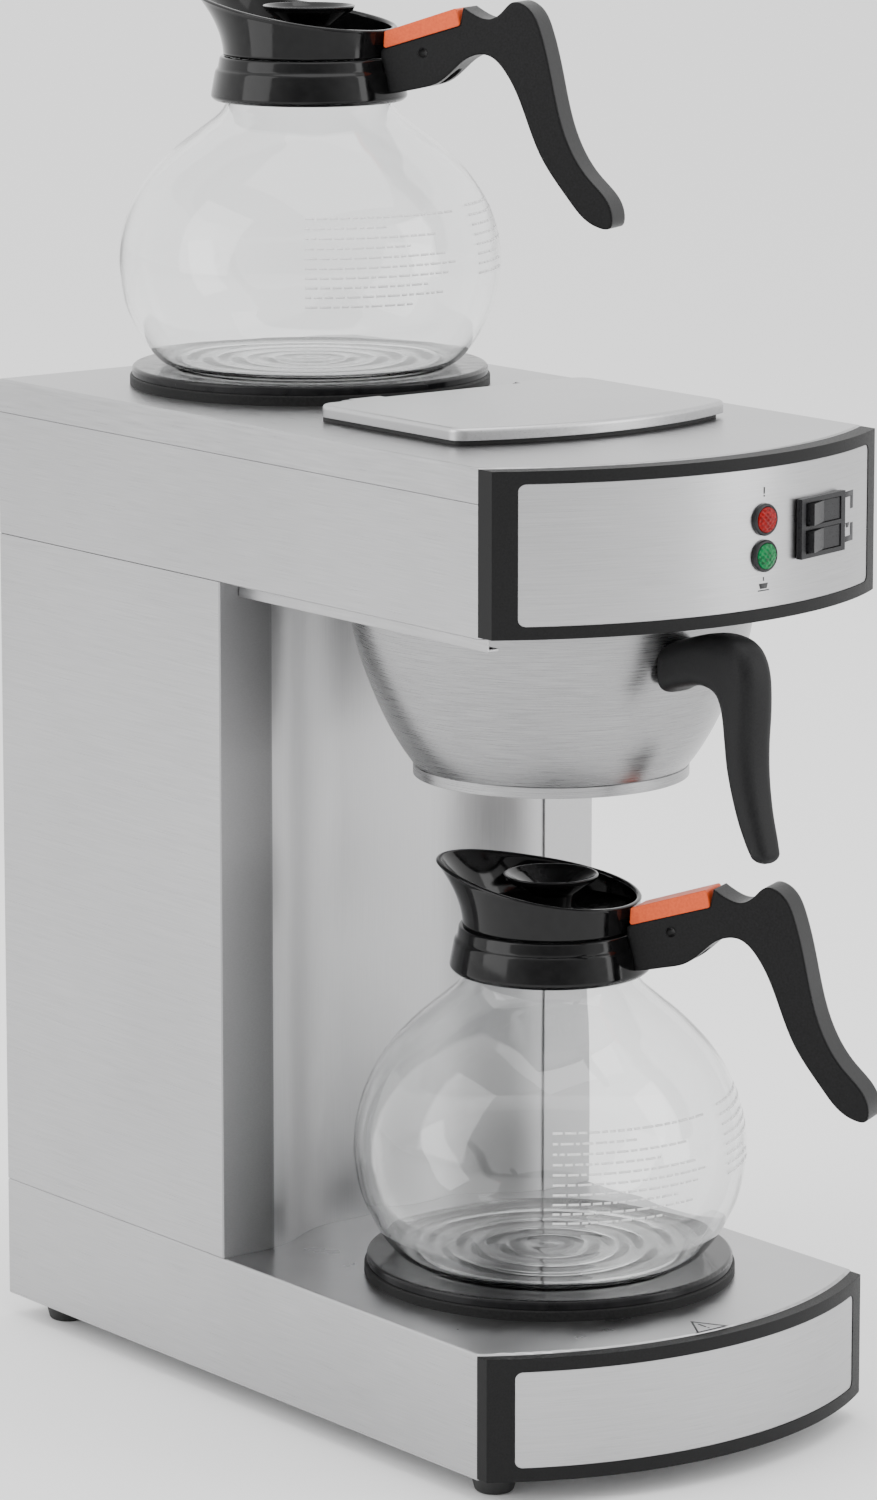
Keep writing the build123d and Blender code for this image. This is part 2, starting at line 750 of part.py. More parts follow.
outlet_x = -drain_x
tank_corner = 14.0
heater_half = tank_width / 4
with BuildPart() as water_tank:
    with BuildSketch(Plane.XY.offset(tank_bottom_z)):
        with Locations((0, tank_y)):
            RectangleRounded(tank_width, tank_length, tank_corner)
    extrude(amount=tank_height)
    with BuildSketch(Plane.XY.offset(tank_bottom_z + tank_wall)):
        with Locations((0, tank_y)):
            RectangleRounded(tank_width - 2 * tank_wall, tank_length - 2 * tank_wall, tank_corner - tank_wall)
    extrude(amount=tank_height - 2 * tank_wall, mode=Mode.SUBTRACT)
    with BuildSketch(Plane.XY.offset(tank_top_z)):
        with Locations((drain_x, port_y), (outlet_x, port_y)):
            Circle(tube_radius - tube_wall)
    extrude(amount=-tank_wall, mode=Mode.SUBTRACT)
    with BuildSketch(Plane.XY.offset(tank_bottom_z)):
        with Locations((-heater_half, tank_y), (heater_half, tank_y)):
            Circle(heater_radius)
    extrude(amount=tank_wall, mode=Mode.SUBTRACT)
save(water_tank, "water_tank")

heater_rise = 120.0
heater_tail = 9.0
heater_bend = 30.0
with BuildPart() as tank_heater:
    with BuildLine() as heater_path:
        FilletPolyline(
            (-heater_half, tank_y, tank_bottom_z - heater_tail),
            (-heater_half, tank_y, tank_bottom_z + heater_rise),
            (heater_half, tank_y, tank_bottom_z + heater_rise),
            (heater_half, tank_y, tank_bottom_z - heater_tail),
            radius=heater_bend,
        )
    with BuildSketch(Plane(origin=heater_path.line @ 0, z_dir=heater_path.line % 0)):
        Circle(heater_radius)
    sweep()
save(tank_heater, "tank_heater")


def bent_tube(points, bend):
    """Round tube with a bore, on straight runs joined by tangent arcs."""
    with BuildPart() as tube:
        with BuildLine() as path:
            FilletPolyline(*points, radius=bend)
        with BuildSketch(Plane(origin=path.line @ 0, z_dir=path.line % 0)):
            Circle(tube_radius)
            Circle(tube_radius - tube_wall, mode=Mode.SUBTRACT)
        sweep(path=path.line)
    return tube


tube_bend = 12.5
fill_tube = bent_tube(
    [
        (drain_x, drain_y, basin_bottom_z),
        (drain_x, drain_y, fill_run_z),
        (drain_x, port_y, fill_run_z),
        (drain_x, port_y, tank_top_z),
    ],
    tube_bend,
)
save(fill_tube, "fill_tube")

spray_rise = 10.0
outlet_rise = 15.0
spray_top_z = column_top_z + spray_rise
outlet_run_z = spray_top_z + outlet_rise
outlet_tube = bent_tube(
    [
        (outlet_x, port_y, tank_top_z),
        (outlet_x, port_y, outlet_run_z),
        (0, brew_y, outlet_run_z),
        (0, brew_y, spray_top_z),
    ],
    tube_bend,
)
save(outlet_tube, "outlet_tube")

spray_flange = 4.0
spray_taper = 40.0
spray_hole_radius = 1.5
spray_hole_circle = 4.8
with BuildPart() as spray_head:
    with BuildSketch(Plane.XY.offset(column_top_z - spray_depth)):
        with Locations((0, brew_y)):
            Circle(spray_radius)
    extrude(amount=spray_depth + sheet)
    with BuildSketch(Plane.XY.offset(column_top_z + sheet)):
        with Locations((0, brew_y)):
            Circle(spray_radius + spray_flange)
    extrude(amount=spray_top_z - column_top_z - sheet, taper=spray_taper)
    with BuildSketch(Plane.XY.offset(spray_top_z)):
        with Locations((0, brew_y)):
            Circle(tube_radius - tube_wall)
    extrude(amount=-(spray_top_z - column_top_z), mode=Mode.SUBTRACT)
    with BuildSketch(Plane.XY.offset(column_top_z - spray_depth)):
        with Locations((0, brew_y)):
            with PolarLocations(spray_hole_circle, 4):
                Circle(spray_hole_radius)
    extrude(amount=spray_depth + 2 * sheet, mode=Mode.SUBTRACT)
save(spray_head, "spray_head")

# Rails under the housing that carry the basket's flange
flange_radius = basket_radius + basket_flange
flange_z = column_top_z - basket_clearance
rail_web_x = flange_radius + rail_clearance
rail_setback = 6.0
rail_back_gap = 0.5
rail_shelf = 7.0
rail_front_y = wall_end_y + rail_setback
rail_back_y = column_front_y - rail_back_gap
rail_length = rail_back_y - rail_front_y
for rail_side, rail_name in ((-1, "basket_rail_left"), (1, "basket_rail_right")):
    with BuildPart() as rail:
        with BuildSketch(Plane.XZ.offset(-rail_back_y)):
            with BuildLine():
                lip_bottom_z = flange_z - 3 * sheet
                Polyline(
                    (rail_side * rail_web_x, column_top_z),
                    (rail_side * (rail_web_x + rail_shelf), column_top_z),
                    (rail_side * (rail_web_x + rail_shelf), column_top_z - sheet),
                    (rail_side * (rail_web_x + sheet), column_top_z - sheet),
                    (rail_side * (rail_web_x + sheet), lip_bottom_z),
                    (rail_side * (rail_web_x - rail_lip), lip_bottom_z),
                    (rail_side * (rail_web_x - rail_lip), lip_bottom_z + sheet),
                    (rail_side * rail_web_x, lip_bottom_z + sheet),
                    close=True,
                )
            make_face()
        extrude(amount=rail_length)
    save(rail, rail_name)

# Brew basket: a spun bowl with a flange and a foot ring, a wire rack inside and a bolted grip
basket_bottom_z = flange_z - basket_height
basket_foot_height = 4.5
foot_overhang = 0.4
floor_fall = 1.0
wall_slope = 0.7
floor_z = basket_bottom_z + basket_foot_height
drip_radius = 6.0
inner_foot_radius = basket_foot_radius - basket_wall
inner_floor_z = floor_z + basket_wall * wall_slope
bowl_rise = flange_z - floor_z
bowl_flare = basket_radius - basket_foot_radius
bowl_shape = [(0.0, 0.0), (0.255, 0.142), (0.498, 0.321), (0.724, 0.533), (0.88, 0.716), (0.978, 0.894), (1.0, 1.0)]
bowl_points = [(basket_foot_radius + bowl_flare * out, floor_z + bowl_rise * up) for out, up in bowl_shape]
bowl_inside = [(radius - basket_wall, height + basket_wall * wall_slope) for radius, height in bowl_points[:-1]]
bowl_inside.append((basket_radius - basket_wall, flange_z))
grip_screw_inset = 10.0
grip_screw_places = [(-grip_screw_x, flange_z - grip_screw_drop), (grip_screw_x, flange_z - grip_screw_drop)]
grip_screw_plane = Plane.XZ.offset(-(brew_y - basket_radius + grip_screw_inset))
with BuildPart() as basket_bowl:
    with BuildSketch(Plane.XZ.offset(-brew_y)):
        with BuildLine():
            Spline(*bowl_points)
            Spline(*bowl_inside)
            Line(bowl_points[-1], bowl_inside[-1])
            Polyline(
                bowl_inside[0],
                (drip_radius, inner_floor_z - floor_fall),
                (drip_radius, basket_bottom_z),
                (drip_radius + basket_wall, basket_bottom_z),
                (drip_radius + basket_wall, floor_z - floor_fall),
                (inner_foot_radius, floor_z - foot_overhang),
                (inner_foot_radius, basket_bottom_z),
                (basket_foot_radius + foot_overhang, basket_bottom_z),
                (basket_foot_radius + foot_overhang, floor_z),
                bowl_points[0],
            )
        make_face()
    revolve(axis=Axis((0, brew_y, 0), (0, 0, 1)))
    with BuildSketch(Plane.XY.offset(flange_z)):
        with Locations((0, brew_y)):
            Circle(flange_radius)
            Circle(basket_radius - basket_wall, mode=Mode.SUBTRACT)
    extrude(amount=-basket_wall)
    with BuildSketch(grip_screw_plane):
        with Locations(*grip_screw_places):
            Circle(grip_screw_radius)
    extrude(amount=2 * grip_screw_inset, mode=Mode.SUBTRACT)
save(basket_bowl, "basket_bowl")

rack_radius = inner_foot_radius - rack_clearance
rack_sheet = 1.2
rack_leg = 4.0
rack_leg_radius = 2.0
rack_hole_radius = 4.0
rack_leg_inset = 3.0
with BuildPart() as filter_rack:
    with BuildSketch(Plane.XY.offset(inner_floor_z + rack_leg)):
        with Locations((0, brew_y)):
            Circle(rack_radius)
            Circle(rack_hole_radius, mode=Mode.SUBTRACT)
            for ring_count, ring_share in ((6, 0.3), (12, 0.55), (18, 0.8)):
                with PolarLocations(rack_radius * ring_share, ring_count):
                    Circle(rack_hole_radius, mode=Mode.SUBTRACT)
    extrude(amount=rack_sheet)
    with BuildSketch(Plane.XY.offset(inner_floor_z)):
        with Locations((0, brew_y)):
            with PolarLocations(rack_radius - rack_leg_inset, 3):
                Circle(rack_leg_radius)
    extrude(amount=rack_leg)
save(filter_rack, "filter_rack")

# The grip's side view, as reach from the basket's middle and height over the flange
grip_screw_depth = 12.0
grip_screw_standoff = 6.8
grip_screw_length = 15.0
grip_reach_from_axis = brew_y - grip_front_y
grip_outline = [
    (basket_radius - 1.5, -7.5),
    (basket_radius + 12.0, -2.5),
    (basket_radius + 32.0, 0.6),
    (basket_radius + 43.0, -2.0),
    (basket_radius + 49.5, -12.0),
    (basket_radius + 49.0, -38.0),
    (basket_radius + 51.0, -64.0),
    (grip_reach_from_axis, -84.0),
    (grip_reach_from_axis - 2.0, -91.5),
    (grip_reach_from_axis - 8.0, -91.0),
    (basket_radius + 39.0, -66.0),
    (basket_radius + 33.5, -42.0),
    (basket_radius + 31.0, -28.5),
    (basket_radius + 26.0, -24.0),
    (basket_radius + 12.0, -21.5),
    (basket_radius - 1.5, -27.0),
]
with BuildPart() as basket_handle:
    with BuildSketch(Plane.YZ.offset(-grip_width / 2)):
        with BuildLine():
            Spline(*[(brew_y - reach, flange_z + rise) for reach, rise in grip_outline])
            Line(
                (brew_y - grip_outline[-1][0], flange_z + grip_outline[-1][1]),
                (brew_y - grip_outline[0][0], flange_z + grip_outline[0][1]),
            )
        make_face()
    extrude(amount=grip_width)
    with BuildSketch(Plane.XY.offset(basket_bottom_z)):
        with Locations((0, brew_y)):
            Circle(basket_radius + seat_clearance)
    extrude(amount=basket_height + basket_clearance, mode=Mode.SUBTRACT)
    with BuildSketch(grip_screw_plane):
        with Locations(*grip_screw_places):
            Circle(grip_screw_radius)
    extrude(amount=grip_screw_inset + grip_screw_depth, mode=Mode.SUBTRACT)
save(basket_handle, "basket_handle")

grip_screw_start_y = brew_y - basket_radius + grip_screw_standoff
with BuildPart() as basket_handle_screws:
    with BuildSketch(Plane.XZ.offset(-grip_screw_start_y)):
        with Locations(*grip_screw_places):
            Circle(grip_screw_head_radius)
    extrude(amount=grip_screw_head)
    with BuildSketch(Plane.XZ.offset(-grip_screw_start_y)):
        with Locations(*grip_screw_places):
            Circle(grip_screw_radius)
    extrude(amount=grip_screw_length)
save(basket_handle_screws, "basket_handle_screws")

# Electrical entry: a cable gland through the rear wall, a terminal block, and the rear screws
gland_z = base_bottom_z + gland_rise
gland_nut_radius = 11.0
gland_nut_depth = 5.0
gland_inner_reach = 12.0
with BuildPart() as cable_gland:
    with BuildSketch(Plane.XZ.offset(-rear_y + gland_inner_reach)):
        with Locations((gland_x, gland_z)):
            Circle(gland_radius)
    extrude(amount=-(gland_inner_reach + gland_reach))
    with BuildSketch(Plane.XZ.offset(-rear_y)):
        with Locations((gland_x, gland_z)):
            RegularPolygon(gland_nut_radius, 6)
    extrude(amount=-gland_nut_depth)
    with BuildSketch(Plane.XZ.offset(-rear_y + sheet)):
        with Locations((gland_x, gland_z)):
            RegularPolygon(gland_nut_radius, 6)
    extrude(amount=gland_nut_depth)
    with BuildSketch(Plane.XZ.offset(-rear_y + gland_inner_reach)):
        with Locations((gland_x, gland_z)):
            Circle(gland_bore)
    extrude(amount=-(gland_inner_reach + gland_reach), mode=Mode.SUBTRACT)
save(cable_gland, "cable_gland")

block_length = 36.0
block_width = 18.0
block_height = 16.0
block_bore = 2.2
block_x = gland_x - 20.0
block_y = rear_y - 45.0
with BuildPart() as terminal_block:
    with Locations((block_x, block_y, base_bottom_z + floor_plate + block_height / 2)):
        Box(block_length, block_width, block_height)
    with BuildSketch(Plane.XY.offset(base_bottom_z + floor_plate + block_height)):
        with Locations((block_x, block_y)):
            with GridLocations(block_length / 3, block_width / 2, 3, 2):
                Circle(block_bore)
    extrude(amount=-block_height / 2, mode=Mode.SUBTRACT)
save(terminal_block, "terminal_block")

rear_screw_radius = 3.5
rear_screw_head = 1.8
rear_screw_inset = 9.0
rear_screw_rise = 14.0
rear_screw_chamfer = 0.6
rear_screw_rows = [
    base_bottom_z + base_height / 2,
    base_top_z + rear_screw_rise,
    column_top_z - rear_screw_rise,
    column_top_z + housing_height / 2,
]
with BuildPart() as rear_screws:
    with BuildSketch(Plane.XZ.offset(-rear_y)):
        for row_z in rear_screw_rows:
            with Locations((-half_width + rear_screw_inset, row_z), (half_width - rear_screw_inset, row_z)):
                Circle(rear_screw_radius)
    extrude(amount=-rear_screw_head)
    chamfer(rear_screws.edges().group_by(Axis.Y)[-1], rear_screw_chamfer)
save(rear_screws, "rear_screws")


# Decanters
belly_height = 48.0
foot_step = 1.0
foot_slope = 1.6
glass_outline = [
    (69.0, 5.5),
    (73.2, 10.0),
    (78.3, 19.0),
    (82.0, 28.0),
    (84.2, 40.0),
    (84.7, 48.0),
    (83.6, 58.0),
    (80.4, 70.0),
    (75.2, 81.0),
    (68.0, 91.5),
    (58.0, 102.0),
    (48.0, 110.5),
    (neck_radius + 4.5, 117.5),
    (neck_radius, 126.0),
]
handle_outline = [
    (38.0, 128.5),
    (44.0, 129.0),
    (56.0, 131.5),
    (65.0, 134.0),
    (73.0, 140.0),
    (80.0, 145.5),
    (89.5, 147.0),
    (98.0, 140.0),
    (105.0, 127.3),
    (114.7, 104.4),
    (128.0, 86.0),
    (142.0, 74.5),
    (147.5, 74.5),
    (148.5, 79.5),
    (137.4, 95.4),
    (125.6, 115.1),
    (119.1, 140.9),
    (114.5, 158.0),
    (108.0, 168.5),
    (101.5, 170.3),
    (96.0, 165.6),
    (90.0, 162.6),
    (84.0, 164.0),
    (78.0, 167.4),
]
tag_foot_in = (collar_top_radius + 1.0, 148.5)
tag_foot_out = (76.5, 159.6)
tag_height = 7.5
tag_slope_in = 0.5
tag_slope_out = 1.5
tag_overhang = 0.8
tag_rounding = 1.0
handle_root = (collar_top_radius - 1.0, 147.0)
handle_hole = (58.5, 147.0)
handle_screw_start = (neck_radius + 0.5, 137.0)
handle_screw_reach = 24.0
handle_screw_tail = 7.0
socket_reach = 20.0


def turned(outline, thickness):
    """Shift each (radius, height) point towards the inside of the profile by the wall thickness."""
    inside = []
    for index, (radius, height) in enumerate(outline):
        before = outline[max(index - 1, 0)]
        after = outline[min(index + 1, len(outline) - 1)]
        run = hypot(after[0] - before[0], after[1] - before[1])
        inside.append(
            (
                radius - thickness * (after[1] - before[1]) / run,
                height + thickness * (after[0] - before[0]) / run,
            )
        )
    return inside


def make_decanter(name, axis_y, base_z, shoulder_drop):
    """One decanter: glass, clamp collar, pouring funnel, brew-through cup, handle, tag and screw.

    The glass above its widest place, and all that is clamped to its neck, sits lower by shoulder_drop.
    """
    clamp_z = base_z - shoulder_drop
    glass_plane = Plane(origin=(0, axis_y, base_z), x_dir=(1, 0, 0), z_dir=(0, -1, 0))
    profile_plane = Plane(origin=(0, axis_y, clamp_z), x_dir=(1, 0, 0), z_dir=(0, -1, 0))
    turn_axis = Axis((0, axis_y, 0), (0, 0, 1))
    reach = Vector(cos(radians(handle_azimuth)), sin(radians(handle_azimuth)), 0)
    side_plane = Plane(origin=(0, axis_y, clamp_z), x_dir=reach, z_dir=reach.cross(Vector(0, 0, 1)))
    squash = 1 - shoulder_drop / (glass_outline[-1][1] - belly_height)
    outer = []
    for radius, height in glass_outline:
        outer.append((radius, height - (1 - squash) * max(height - belly_height, 0)))
    inner = turned(outer, glass_wall)
    rim_height = neck_height - shoulder_drop

    with BuildPart() as glass:
        with BuildSketch(glass_plane):
            with BuildLine():
                Line((0, 0), (glass_foot_radius, 0))
                Line((glass_foot_radius, 0), outer[0])
                Spline(*outer, tangents=[(1, foot_slope), (0, 1)], tangent_scalars=[1, 1])
                Line(outer[-1], (neck_radius, rim_height))
                Line((neck_radius, rim_height), (neck_radius - glass_wall, rim_height))
                Line((neck_radius - glass_wall, rim_height), inner[-1])
                Spline(*reversed(inner), tangents=[(0, -1), (-1, -foot_slope)], tangent_scalars=[1, 1])
                Line(inner[0], (glass_foot_radius - foot_step, glass_wall))
                Line((glass_foot_radius - foot_step, glass_wall), (0, glass_wall))
                Line((0, glass_wall), (0, 0))
            make_face()
        revolve(axis=turn_axis)
    save(glass, f"{name}_glass")

    bore = neck_radius + collar_clearance
    with BuildPart() as collar:
        with BuildSketch(profile_plane):
            with BuildLine():
                Polyline(
                    (bore, collar_bottom + collar_bevel),
                    (collar_radius - collar_bevel, collar_bottom),
                    (collar_radius, collar_bottom + collar_bevel),
                    (collar_top_radius + collar_step, collar_top - collar_groove),
                    (collar_top_radius, collar_top),
                    (bore, collar_top),
                    close=True,
                )
            make_face()
        revolve(axis=turn_axis)
    save(collar, f"{name}_collar")

    rim_middle = (rim_back - spout_reach) / 2
    rim_half_length = (rim_back + spout_reach) / 2
    rim_tilt = atan2(rim_high - rim_low, rim_back + spout_reach)
    rim_origin = side_plane.from_local_coords(Vector(rim_middle, (rim_low + rim_high) / 2, 0))
    rim_x = reach * cos(rim_tilt) - Vector(0, 0, 1) * sin(rim_tilt)
    rim_normal = reach * sin(rim_tilt) + Vector(0, 0, 1) * cos(rim_tilt)
    rim_plane = Plane(origin=rim_origin, x_dir=rim_x, z_dir=rim_normal)
    throat_plane = Plane(origin=(0, axis_y, clamp_z + collar_top), x_dir=reach, z_dir=(0, 0, 1))
    throat_radius = neck_radius + collar_clearance + funnel_wall
    with BuildPart() as funnel_hollow:
        with BuildSketch(throat_plane):
            Circle(throat_radius - funnel_wall)
        with BuildSketch(rim_plane.offset(rim_overcut)):
            Ellipse(rim_half_length / cos(rim_tilt) - funnel_wall, rim_half_width - rim_wall)
        loft()
    with BuildPart() as funnel:
        with BuildSketch(throat_plane):
            Circle(throat_radius)
        with BuildSketch(rim_plane):
            Ellipse(rim_half_length / cos(rim_tilt), rim_half_width)
        loft()
        add(funnel_hollow.part, mode=Mode.SUBTRACT)
    save(funnel, f"{name}_spout_funnel")

    shelf_z = neck_height
    shelf_radius = neck_radius - shelf_inset
    with BuildPart() as cup:
        with BuildSketch(profile_plane):
            with BuildLine():
                Polyline(
                    (cup_bore, shelf_z - cup_spigot),
                    (cup_bore + cup_wall, shelf_z - cup_spigot),
                    (cup_bore + cup_wall, shelf_z),
                    (shelf_radius, shelf_z),
                    (shelf_radius, shelf_z + shelf_thickness),
                    (cup_bore + cup_waist, shelf_z + shelf_thickness),
                    (cup_bore + 2 * cup_wall, cup_height - cup_dish),
                    (cup_radius, cup_height - cup_lip),
                    (cup_radius, cup_height),
                    (cup_radius - shelf_thickness, cup_height),
                    (cup_bore, cup_height - cup_dish),
                    close=True,
                )
            make_face()
        revolve(axis=turn_axis)
        with BuildSketch(Plane(origin=(0, axis_y, clamp_z + shelf_z), x_dir=reach, z_dir=(0, 0, 1))):
            with Locations((-pour_slot_reach, 0)):
                Ellipse(pour_slot_depth / 2, pour_slot_width / 2)
        extrude(amount=shelf_thickness, mode=Mode.SUBTRACT)
    save(cup, f"{name}_brew_cup")

    screw_origin = side_plane.from_local_coords(Vector(*handle_screw_start, 0))
    screw_plane = Plane(origin=screw_origin, x_dir=(0, 0, 1), z_dir=reach)
    with BuildPart() as handle:
        with BuildSketch(side_plane.offset(-handle_width / 2)):
            with BuildLine():
                Spline(*handle_outline)
                Polyline(handle_outline[-1], tag_foot_out, tag_foot_in, handle_root, handle_outline[0])
            make_face()
        extrude(amount=handle_width)
        with BuildSketch(profile_plane):
            with BuildLine():
                Polyline(
                    (0, collar_bottom - collar_bevel),
                    (collar_radius + seat_clearance, collar_bottom - collar_bevel),
                    (collar_radius + seat_clearance, collar_bottom + collar_bevel),
                    (collar_top_radius + collar_step + seat_clearance, collar_top - collar_groove),
                    (collar_top_radius + seat_clearance, collar_top),
                    (collar_top_radius + seat_clearance, collar_top + socket_reach),
                    (0, collar_top + socket_reach),
                    close=True,
                )
            make_face()
        revolve(axis=turn_axis, mode=Mode.SUBTRACT)
        with BuildSketch(side_plane.offset(-handle_width)):
            with Locations(handle_hole):
                Circle(handle_bore)
        extrude(amount=2 * handle_width, mode=Mode.SUBTRACT)
        with BuildSketch(screw_plane):
            Circle(handle_bore)
        extrude(amount=handle_screw_reach, mode=Mode.SUBTRACT)
        with BuildSketch(screw_plane.offset(handle_screw_reach)):
            Circle(handle_screw_head_radius + collar_clearance)
        extrude(amount=socket_reach, mode=Mode.SUBTRACT)
    save(handle, f"{name}_handle")

    with BuildPart() as tag:
        with BuildSketch(side_plane.offset(-handle_width / 2 - tag_overhang)):
            with BuildLine():
                Polyline(
                    tag_foot_in,
                    tag_foot_out,
                    (tag_foot_out[0] - tag_slope_out, tag_foot_out[1] + tag_height),
                    (tag_foot_in[0] + tag_slope_in, tag_foot_in[1] + tag_height),
                    close=True,
                )
            make_face()
        extrude(amount=handle_width + 2 * tag_overhang)
        fillet(tag.edges().filter_by(Axis(side_plane.origin, side_plane.z_dir)), tag_rounding)
    save(tag, f"{name}_handle_tag")

    with BuildPart() as screw:
        with BuildSketch(screw_plane.offset(handle_screw_tail)):
            Circle(handle_bore)
        extrude(amount=handle_screw_reach - handle_screw_tail)
        with BuildSketch(screw_plane.offset(handle_screw_reach)):
            Circle(handle_screw_head_radius)
        extrude(amount=handle_screw_head)
    save(screw, f"{name}_handle_screw")


decanter_rise = ring_height + plate_thickness + decanter_clearance
make_decanter("lower_decanter", brew_y, base_top_z + decanter_rise, lower_shoulder_drop)
make_decanter("upper_decanter", upper_plate_y, deck_z + decanter_rise, upper_shoulder_drop)
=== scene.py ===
from math import cos, pi, radians, sin

import bmesh
import bpy
import numpy as np
from mathutils import Euler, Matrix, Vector


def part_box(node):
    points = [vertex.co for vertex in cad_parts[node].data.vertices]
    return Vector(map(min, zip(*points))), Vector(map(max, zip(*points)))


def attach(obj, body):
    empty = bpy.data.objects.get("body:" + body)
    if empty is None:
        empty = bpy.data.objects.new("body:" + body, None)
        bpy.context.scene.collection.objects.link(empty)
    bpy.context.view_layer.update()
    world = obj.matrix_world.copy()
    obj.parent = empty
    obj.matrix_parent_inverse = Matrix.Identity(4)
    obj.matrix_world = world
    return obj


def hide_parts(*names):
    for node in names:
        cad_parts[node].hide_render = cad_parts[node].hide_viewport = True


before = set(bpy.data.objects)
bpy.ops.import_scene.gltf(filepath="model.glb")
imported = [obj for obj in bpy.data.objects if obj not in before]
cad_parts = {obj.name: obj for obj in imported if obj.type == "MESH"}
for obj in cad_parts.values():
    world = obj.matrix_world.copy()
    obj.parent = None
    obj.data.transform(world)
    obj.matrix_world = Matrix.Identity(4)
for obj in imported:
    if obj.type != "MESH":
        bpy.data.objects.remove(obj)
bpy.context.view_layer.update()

# Camera: stands off the machine's front left corner, a little above the upper deck.
# Its lens is long, so that upright edges stay nearly parallel.
camera_place = (-1.54423, -1.98377, 0.77680)
camera_turn = 37.726
camera_drop = 9.679
camera_data = bpy.data.cameras.new("camera")
camera_data.sensor_width = 36.0
camera_data.lens = 141.46
camera_data.shift_y = -0.1
camera_data.clip_end = 100.0
camera = bpy.data.objects.new("camera", camera_data)
camera.location = camera_place
camera.rotation_euler = Euler((radians(90.0 - camera_drop), 0.0, radians(-camera_turn)), "XYZ")
bpy.context.scene.collection.objects.link(camera)
bpy.context.scene.camera = camera

# Studio: a bright surround that is darker behind the camera, and three soft lights.
# The floor is a plain pale sheet, wide enough to hide its edge.
surround = bpy.data.worlds.new("studio")
surround.use_nodes = True
surround_tree = surround.node_tree
surround_glow = surround_tree.nodes["Background"]
surround_glow.inputs["Color"].default_value = (1.0, 1.0, 1.0, 1.0)
surround_way = surround_tree.nodes.new("ShaderNodeTexCoord")
surround_turn = surround_tree.nodes.new("ShaderNodeVectorMath")
surround_turn.operation = "DOT_PRODUCT"
surround_turn.inputs[1].default_value = (-0.61, -0.79, 0.0)
surround_fade = surround_tree.nodes.new("ShaderNodeMapRange")
surround_fade.inputs["From Min"].default_value = 0.55
surround_fade.inputs["From Max"].default_value = 0.97
surround_fade.inputs["To Min"].default_value = 1.75
surround_fade.inputs["To Max"].default_value = 0.55
surround_tree.links.new(surround_way.outputs["Generated"], surround_turn.inputs[0])
surround_tree.links.new(surround_turn.outputs["Value"], surround_fade.inputs["Value"])
surround_tree.links.new(surround_fade.outputs["Result"], surround_glow.inputs["Strength"])
bpy.context.scene.world = surround


def soft_light(name, place, aim, width, height, power):
    """Rectangular area light at place, turned to face aim."""
    data = bpy.data.lights.new(name, "AREA")
    data.shape = "RECTANGLE"
    data.size = width
    data.size_y = height
    data.energy = power
    light = bpy.data.objects.new(name, data)
    light.location = place
    light.rotation_euler = (Vector(aim) - Vector(place)).to_track_quat("-Z", "Y").to_euler()
    bpy.context.scene.collection.objects.link(light)


soft_light("key_left", (-2.2, 0.6, 1.3), (0.0, 0.0, 0.3), 1.6, 2.2, 26.0)
soft_light("front_right", (1.5, -1.9, 1.0), (0.0, 0.0, 0.3), 0.9, 2.0, 18.0)
soft_light("overhead", (0.0, -0.3, 2.2), (0.0, 0.0, 0.4), 1.8, 1.8, 16.0)

floor_size = 40.0
floor_mesh = bpy.data.meshes.new("floor")
floor_mesh.from_pydata(
    [
        (-floor_size, -floor_size, 0),
        (floor_size, -floor_size, 0),
        (floor_size, floor_size, 0),
        (-floor_size, floor_size, 0),
    ],
    [],
    [(0, 1, 2, 3)],
)
floor = bpy.data.objects.new("floor", floor_mesh)
bpy.context.scene.collection.objects.link(floor)
floor_paint = bpy.data.materials.new("pale_floor")
floor_paint.use_nodes = True
floor_shader = floor_paint.node_tree.nodes["Principled BSDF"]
floor_shader.inputs["Base Color"].default_value = (0.92, 0.92, 0.92, 1.0)
floor_shader.inputs["Roughness"].default_value = 0.9
floor_mesh.materials.append(floor_paint)


